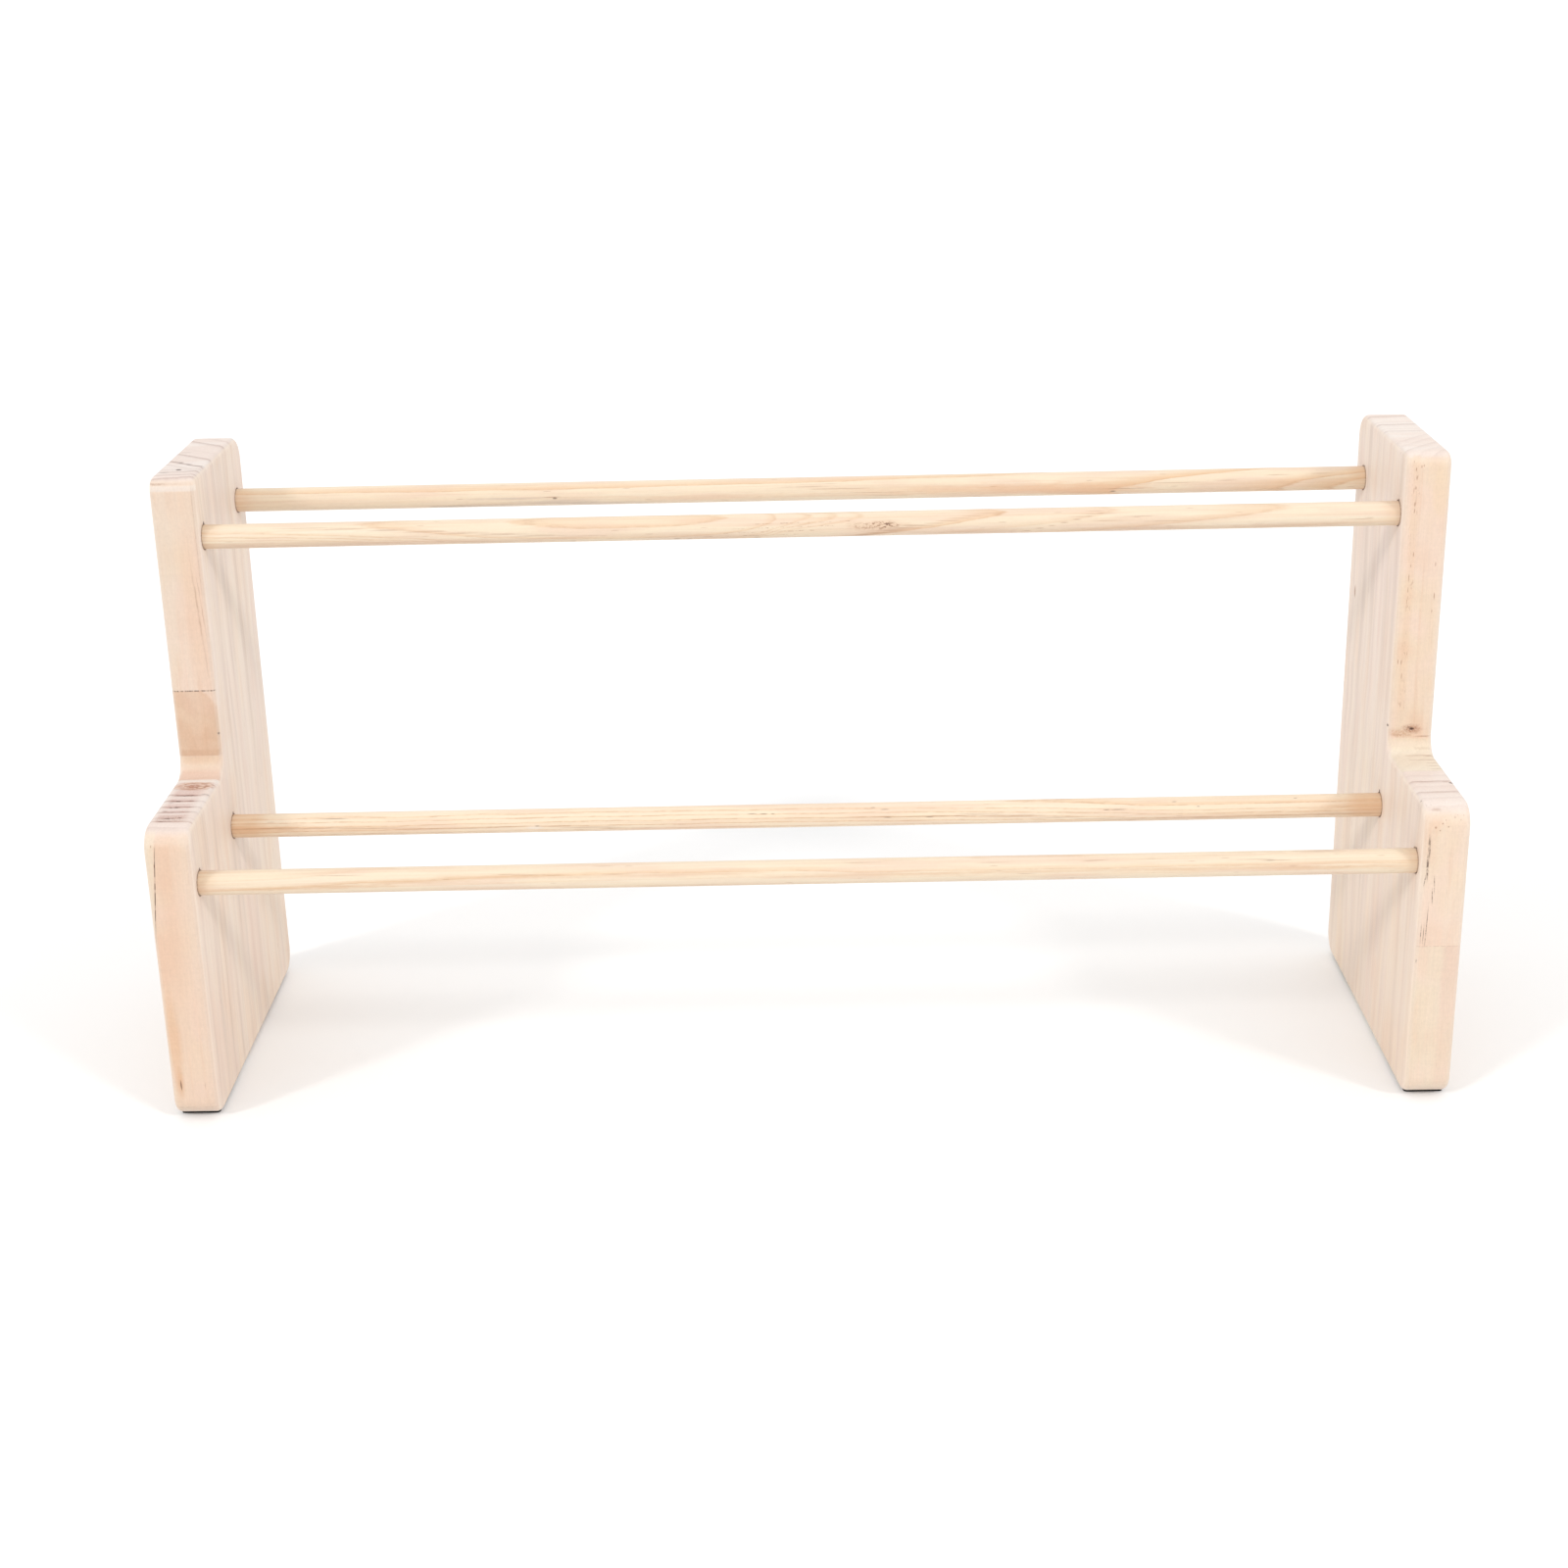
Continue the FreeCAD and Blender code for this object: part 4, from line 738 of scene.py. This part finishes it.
    net.bsdf.inputs["Specular IOR Level"].default_value = 0.45
    h = net.mad(L, 0.5, fib)
    h = net.sub(h, net.mul(bm, 1.0))
    net.put(net.bsdf.inputs["Normal"], net.bump(h, 0.00005, 0.5))
    return net.mat


def upper_back_extra(net, P, base, brown, dark, t):
    mark, x = t["mark"], t["x"]
    w = net.mul(net.sub(t["fine"], 0.5), 2.0)
    # grey streaks round a small bark pocket
    for px, fr, hl, hw in ((-84, 0.78, 13, 0.8), (-100, 0.62, 12, 0.35), (-70, 0.88, 16, 0.8), (-112, 0.90, 14, 0.7)):
        base = net.mix(net.mul(mark(px, fr, hl, hw, 0.8, w), 0.5), base, rgb(206, 188, 178))
    dark.append(net.mul(mark(-84.4, 0.64, 0.7, 0.35, 0.5), 0.75))
    brown.append(net.mul(mark(-85.5, 0.60, 2.5, 0.16, 0.6), 0.7))
    dark.append(net.mul(mark(-120, 0.90, 7.0, 0.22, 0.7, w), 0.5))
    # pinkish heart that widens to the right
    for px, fr, hl, hw, k in ((60, 0.62, 36, 1.3, .55), (88, 0.66, 24, 1.7, .6), (100, 0.70, 12, 1.7, .6), (-150, 0.62, 30, 0.9, .2), (-30, 0.72, 22, 1.2, .3)):
        base = net.mix(net.mul(mark(px, fr, hl, hw, 0.9, w), k), base, rgb(243, 200, 165))
    dark.append(net.mul(mark(108.2, 0.80, 0.9, 0.30, 0.6), 0.7))
    brown.append(net.mul(mark(113, 0.70, 6.0, 0.16, 0.7, w), 0.8))
    brown.append(net.mul(mark(128, 0.54, 9.0, 0.13, 0.7, w), 0.6))
    for px, fr, hl in ((6, 0.36, 7), (2, 0.44, 8), (14, 0.52, 9), (24, 0.66, 12), (30, 0.78, 8), (100, 0.42, 1.0), (147, 0.50, 3), (165, 0.36, 3), (180, 0.34, 3)):
        brown.append(net.mul(mark(px, fr, hl, 0.11, 0.7, w), 0.6))
    return base


def upper_front_extra(net, P, base, brown, dark, t):
    mark, x = t["mark"], t["x"]
    w = net.mul(net.sub(t["fine"], 0.5), 2.0)
    grit = net.step(t["speck"], 0.46, 0.60)
    # fine diagonal dashes, left half
    for i in range(7):
        px, fr = -160 + i * 12.5, 0.30 + i * 0.062
        brown.append(net.mul(mark(px, fr, 7.5, 0.13, 0.7, w), 0.55))
        brown.append(net.mul(mark(px + 14, fr + 0.03, 6.0, 0.10, 0.7, w), 0.45))
    # bundle that rises to the right before the knot
    for k in range(5):
        for i in range(4):
            px, fr = -30 + k * 6.5 + i * 6.0, 0.84 - i * 0.13 - k * 0.01
            brown.append(net.mul(net.mul(mark(px, fr, 3.2, 0.13, 0.7, w), grit), 0.85))
    # the knot
    base = net.mix(net.mul(mark(26, 0.58, 9.0, 1.5, 0.9, w), 0.40), base, rgb(228, 178, 146))
    kn = mark(25.2, 0.58, 6.5, 1.15, 0.7, w)
    kn_n = net.noise(net.vec(net.mul(P[0], 0.62), net.mul(P[1], 1.25), net.mul(P[2], 1.25)), 1.0, 3.0, 0.72)
    brown.append(net.mul(kn, net.mul(net.step(kn_n, 0.48, 0.57), 0.9)))
    dark.append(net.mul(mark(26.8, 0.57, 3.6, 0.8, 0.7, w), net.mul(net.step(kn_n, 0.54, 0.62), 0.8)))
    dark.append(net.mul(mark(28.6, 0.52, 0.9, 0.24, 0.6), 0.7))
    for i in range(6):
        px, fr = 19 + i * 3.6, 0.94 - i * 0.072
        brown.append(net.mul(mark(px, fr, 4.2, 0.30, 0.7, w), 0.75 - 0.05 * i))
    for i in range(6):
        px, fr = 40 + i * 4.0, 0.60 - i * 0.068
        brown.append(net.mul(mark(px, fr, 3.6, 0.12, 0.7, w), 0.5))
    for i in range(7):
        px, fr = 74 + i * 4.0, 0.84 - i * 0.085
        brown.append(net.mul(mark(px, fr, 1.2, 0.16, 0.7, w), 0.7))
    for px, fr, hl in ((96, 0.25, 3), (98, 0.34, 5), (92, 0.42, 4), (100, 0.55, 4), (110, 0.44, 6), (120, 0.60, 8), (185, 0.62, 1.6), (182, 0.66, 4)):
        brown.append(net.mul(mark(px, fr, hl, 0.12, 0.7, w), 0.55))
    # pinkish patches and dark specks along the underside
    for px, hl in ((-185, 14), (-150, 18), (-100, 20), (-30, 14), (60, 14), (115, 20), (160, 22)):
        base = net.mix(net.mul(mark(px, 0.84, hl, 1.0, 0.9, w), 0.38), base, rgb(222, 184, 160))
    for px, fr in ((-74, .93), (-40, .92), (-14, .92), (-36, .95)):
        dark.append(net.mul(mark(px, fr, 1.0, 0.22, 0.6), 0.6))
    return base


def lower_back_extra(net, P, base, brown, dark, t):
    mark, x = t["mark"], t["x"]
    w = net.mul(net.sub(t["fine"], 0.5), 2.0)
    for px, fr, hl in ((-18, .42, 1.4), (-14, .43, 1.2), (-11, .43, .6), (23, .29, .8), (27, .36, 1.4), (28, .61, 1.2), (42, .62, 1.2),
                       (106, .50, 2.4), (-160, .33, 4), (125, .28, .8), (133, .45, .5), (166, .23, .6), (102, .5, 1)):
        dark.append(net.mul(mark(px, fr, hl, 0.13, 0.6), 0.7))
    # a grey-brown line that wanders round the knot and dips away
    for px, fr, hl in ((-186, .60, 11), (-166, .62, 12), (-146, .655, 10), (-130, .71, 9), (-114, .715, 8), (-102, .68, 6), (-84, .70, 6),
                       (-74, .75, 7), (-64, .82, 6), (38, .60, 30), (86, .72, 8), (98, .80, 7), (72, .66, 9)):
        brown.append(net.mul(mark(px, fr, hl, 0.20, 0.8, w), 0.55))
    for px, fr, hl in ((110, .86, 9), (135, .84, 12), (158, .80, 12), (180, .78, 12)):
        brown.append(net.mul(mark(px, fr, hl, 0.45, 0.9, w), 0.40))
    # tiny pale knot
    base = net.mix(net.mul(mark(-92, 0.74, 2.6, 0.6, 0.8, w), 0.7), base, rgb(250, 238, 226))
    dark.append(net.mul(mark(-91, 0.68, 0.7, 0.2, 0.6), 0.6))
    for px, fr, hl, k in ((-185, 0.62, 16, .8), (-150, 0.70, 22, .5), (150, 0.72, 26, .35), (185, .55, 14, .6)):
        base = net.mix(net.mul(mark(px, fr, hl, 1.2, 0.9, w), k * 0.7), base, rgb(236, 188, 146))
    for px, fr, hl in ((-70, .78, 9), (-60, .82, 7), (120, .84, 9), (135, .80, 8), (60, .55, 10), (70, .62, 8)):
        brown.append(net.mul(mark(px, fr, hl, 0.13, 0.7, w), 0.5))
    return base


def lower_front_extra(net, P, base, brown, dark, t):
    mark, x = t["mark"], t["x"]
    w = net.mul(net.sub(t["fine"], 0.5), 2.0)
    # brown shading that climbs from the left end
    for px, fr, hl, k in ((-172, 0.74, 16, .6), (-150, 0.69, 16, .7), (-128, 0.58, 16, .6), (-104, 0.50, 16, .5), (-76, 0.48, 18, .4),
                          (-35, 0.50, 22, .3), (30, 0.62, 30, .35), (80, 0.62, 30, .4), (130, 0.62, 34, .45), (170, 0.66, 26, .5)):
        base = net.mix(net.mul(mark(px, fr, hl, 0.55, 0.9, w), k), base, rgb(232, 190, 152))
    for px, fr, hl in ((-65, .20, 3), (18, .25, 5), (60, .33, 4), (90, .34, 2.4), (92, .32, 3), (110, .30, 5), (143, .38, 6), (150, .42, 4),
                       (-150, .36, 7), (-88, .45, 5), (-80, .47, 3), (-60, .47, 4), (70, .68, 2), (-95, .42, 4)):
        brown.append(net.mul(mark(px, fr, hl, 0.12, 0.7, w), 0.55))
    base = net.mix(net.mul(mark(164, 0.10, 5, 0.8, 0.9, w), 0.5), base, rgb(214, 186, 164))
    dark.append(net.mul(mark(148, .42, 1.4, .12, .6), 0.6))
    return base


# ------------------------------------------------------------------ camera
def camera():
    pos = Vector((0.0011790, -0.7672530, 0.3768593))
    right = Vector((0.9997707, 0.00281779, -0.02122762))
    up = Vector((0.01892378, 0.3476905, 0.93741837))
    fwd = Vector((-0.01002209, 0.93760513, -0.34755745))
    data = bpy.data.cameras.new("camera")
    cam = bpy.data.objects.new("camera", data)
    bpy.context.scene.collection.objects.link(cam)
    rot = Matrix((right, up, -fwd)).transposed()
    cam.matrix_world = Matrix.Translation(pos) @ rot.to_4x4()
    data.sensor_width = 36.0
    data.sensor_fit = "HORIZONTAL"
    data.lens = 2454.1026 * 36.0 / 1600.0
    data.clip_start = 0.01
    data.clip_end = 50.0
    bpy.context.scene.camera = cam
    return cam


camera()


# ------------------------------------------------------------------ stage and light
def sun(name, toward, strength, angle, color=(1, 1, 1)):
    data = bpy.data.lights.new(name, "SUN")
    data.energy = strength
    data.angle = math.radians(angle)
    data.color = color
    obj = bpy.data.objects.new(name, data)
    bpy.context.scene.collection.objects.link(obj)
    obj.rotation_euler = (-Vector(toward)).to_track_quat("-Z", "Y").to_euler()
    return obj


sun("key_left", (-0.75, -0.68, 0.66), 0.80, 9.0, (1.0, 0.99, 0.975))
sun("key_right", (0.75, -0.66, 0.72), 0.70, 9.0, (1.0, 0.99, 0.975))

world = bpy.data.worlds.new("studio")
bpy.context.scene.world = world
world.use_nodes = True
wt = world.node_tree
wtc = wt.nodes.new("ShaderNodeTexCoord")
wsep = wt.nodes.new("ShaderNodeSeparateXYZ")
wt.links.new(wtc.outputs["Generated"], wsep.inputs[0])
wramp = wt.nodes.new("ShaderNodeValToRGB")
wt.links.new(wsep.outputs[2], wramp.inputs[0])
wramp.color_ramp.elements[0].position = 0.0
wramp.color_ramp.elements[0].color = (0.74, 0.745, 0.75, 1.0)
wramp.color_ramp.elements[1].position = 1.0
wramp.color_ramp.elements[1].color = (1.0, 1.0, 1.0, 1.0)
bg = wt.nodes["Background"]
wt.links.new(wramp.outputs[0], bg.inputs[0])
bg.inputs[1].default_value = 1.12


def floor():
    bm = bmesh.new()
    bmesh.ops.create_grid(bm, x_segments=8, y_segments=8, size=60.0)
    me = bpy.data.meshes.new("floor")
    bm.to_mesh(me)
    bm.free()
    ob = bpy.data.objects.new("floor", me)
    bpy.context.scene.collection.objects.link(ob)
    net = Net("pale_floor")
    n = net.noise(net.tc.outputs["Object"], 3.0, 2.0, 0.5)
    net.put(net.bsdf.inputs["Base Color"], net.mix(n, (0.885, 0.885, 0.885, 1), (0.895, 0.895, 0.895, 1)))
    net.bsdf.inputs["Roughness"].default_value = 0.85
    net.bsdf.inputs["Specular IOR Level"].default_value = 0.1
    me.materials.append(net.mat)
    return ob


floor()
bpy.context.scene.view_settings.view_transform = "Standard"
bpy.context.scene.view_settings.look = "None"


# ------------------------------------------------------------------ dress the frame's parts
def dress(node, mat):
    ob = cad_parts[node]
    me = ob.data
    if len(me.materials):
        for i in range(len(me.materials)):
            me.materials[i] = mat
    else:
        me.materials.append(mat)
    for slot in ob.material_slots:
        slot.material = mat


dress("left_side_panel", panel_wood("pine_left_panel", -1))
dress("right_side_panel", panel_wood("pine_right_panel", 1))

dress("upper_back_rod", rod_wood(
    "pine_upper_back_rod", "upper_back_rod", 143.0,
    [(-205, 0.0), (-120, 0.15), (-40, 0.0), (30, -0.9), (70, -2.2), (108, -6.0), (163, -12.0), (205, -16.5)],
    [(-0.9, 0.75, 2.2), (-9.9, 1.0, 3.0), (-16.2, .8, 2.2), (-18.0, .8, 1.6), (5.5, .4, 2.5)],
    late=rgb(241, 199, 157), extra=upper_back_extra, seed=1.0, lined=0.25))
dress("upper_front_rod", rod_wood(
    "pine_upper_front_rod", "upper_front_rod", 60.0,
    [(-205, -2.4), (-160, -1.4), (-132, 0.0), (-89, 3.3), (-53, 4.0), (-26, 3.0), (0, -2.4), (20, -4.5), (64, -9.9), (97, -13.0),
     (158, -17.9), (205, -20.5)],
    [(7.05, .55, 1.4), (3.45, .5, 1.0), (1.3, .4, 0.5), (0.4, .4, 0.5), (-0.6, .4, 0.5), (-6.1, .7, 1.6), (-9.6, .3, 1.5),
     (-14.0, .5, 1.8), (-19.5, .3, 2.0)], extra=upper_front_extra, seed=7.0, lined=0.35))
dress("lower_back_rod", rod_wood(
    "pine_lower_back_rod", "lower_back_rod", 90.0,
    [(-205, 0.3), (-120, 0.1), (-60, -0.1), (0, 0.1), (70, 0.8), (107, 2.0), (125, 2.6), (150, 2.6), (205, 2.2)],
    [(3.3, .45, .35), (2.1, .6, .35), (.63, .7, .4), (-.83, .7, .5), (-2.46, .5, .5), (4.9, .6, 1.2)],
    extra=lower_back_extra, seed=13.0, lined=0.75, rim_at=(181.0, 188.0, 0.75), gain=1.045))
dress("lower_front_rod", rod_wood(
    "pine_lower_front_rod", "lower_front_rod", 90.0,
    [(-205, 0.3), (-170, -0.6), (-132, -2.4), (-60, -3.4), (0, -3.4), (20, -2.6), (120, -2.5), (205, -2.4)],
    [(-1.6, .5, 1.3), (-6.5, .35, 1.2), (1.6, .2, 1.5), (-3.6, .2, 1.0)], extra=lower_front_extra, seed=21.0, lined=0.2))


def pad_mat():
    net = Net("black_pad_rubber")
    p, nor = common(net)
    n = net.noise(p, 3.0, 3.0, 0.6)
    net.put(net.bsdf.inputs["Base Color"], net.mix(n, (0.004, 0.004, 0.004, 1), (0.010, 0.010, 0.010, 1)))
    net.put(net.bsdf.inputs["Roughness"], net.mad(n, 0.2, 0.70))
    net.bsdf.inputs["Specular IOR Level"].default_value = 0.15
    net.put(net.bsdf.inputs["Normal"], net.bump(n, 0.00008, 0.6))
    return net.mat


def screw_mat():
    net = Net("zinc_plated_steel")
    p, nor = common(net)
    n = net.noise(p, 4.0, 3.0, 0.6)
    net.put(net.bsdf.inputs["Base Color"], net.mix(n, (0.56, 0.55, 0.50, 1), (0.70, 0.69, 0.65, 1)))
    net.bsdf.inputs["Metallic"].default_value = 1.0
    net.put(net.bsdf.inputs["Roughness"], net.mad(n, 0.25, 0.25))
    net.put(net.bsdf.inputs["Normal"], net.bump(n, 0.00002, 0.4))
    return net.mat


PAD, STEEL = pad_mat(), screw_mat()
for n in ("foot_pad_front_left", "foot_pad_front_right", "foot_pad_back_left", "foot_pad_back_right"):
    dress(n, PAD)
for n in ("left_rod_screws", "right_rod_screws"):
    dress(n, STEEL)
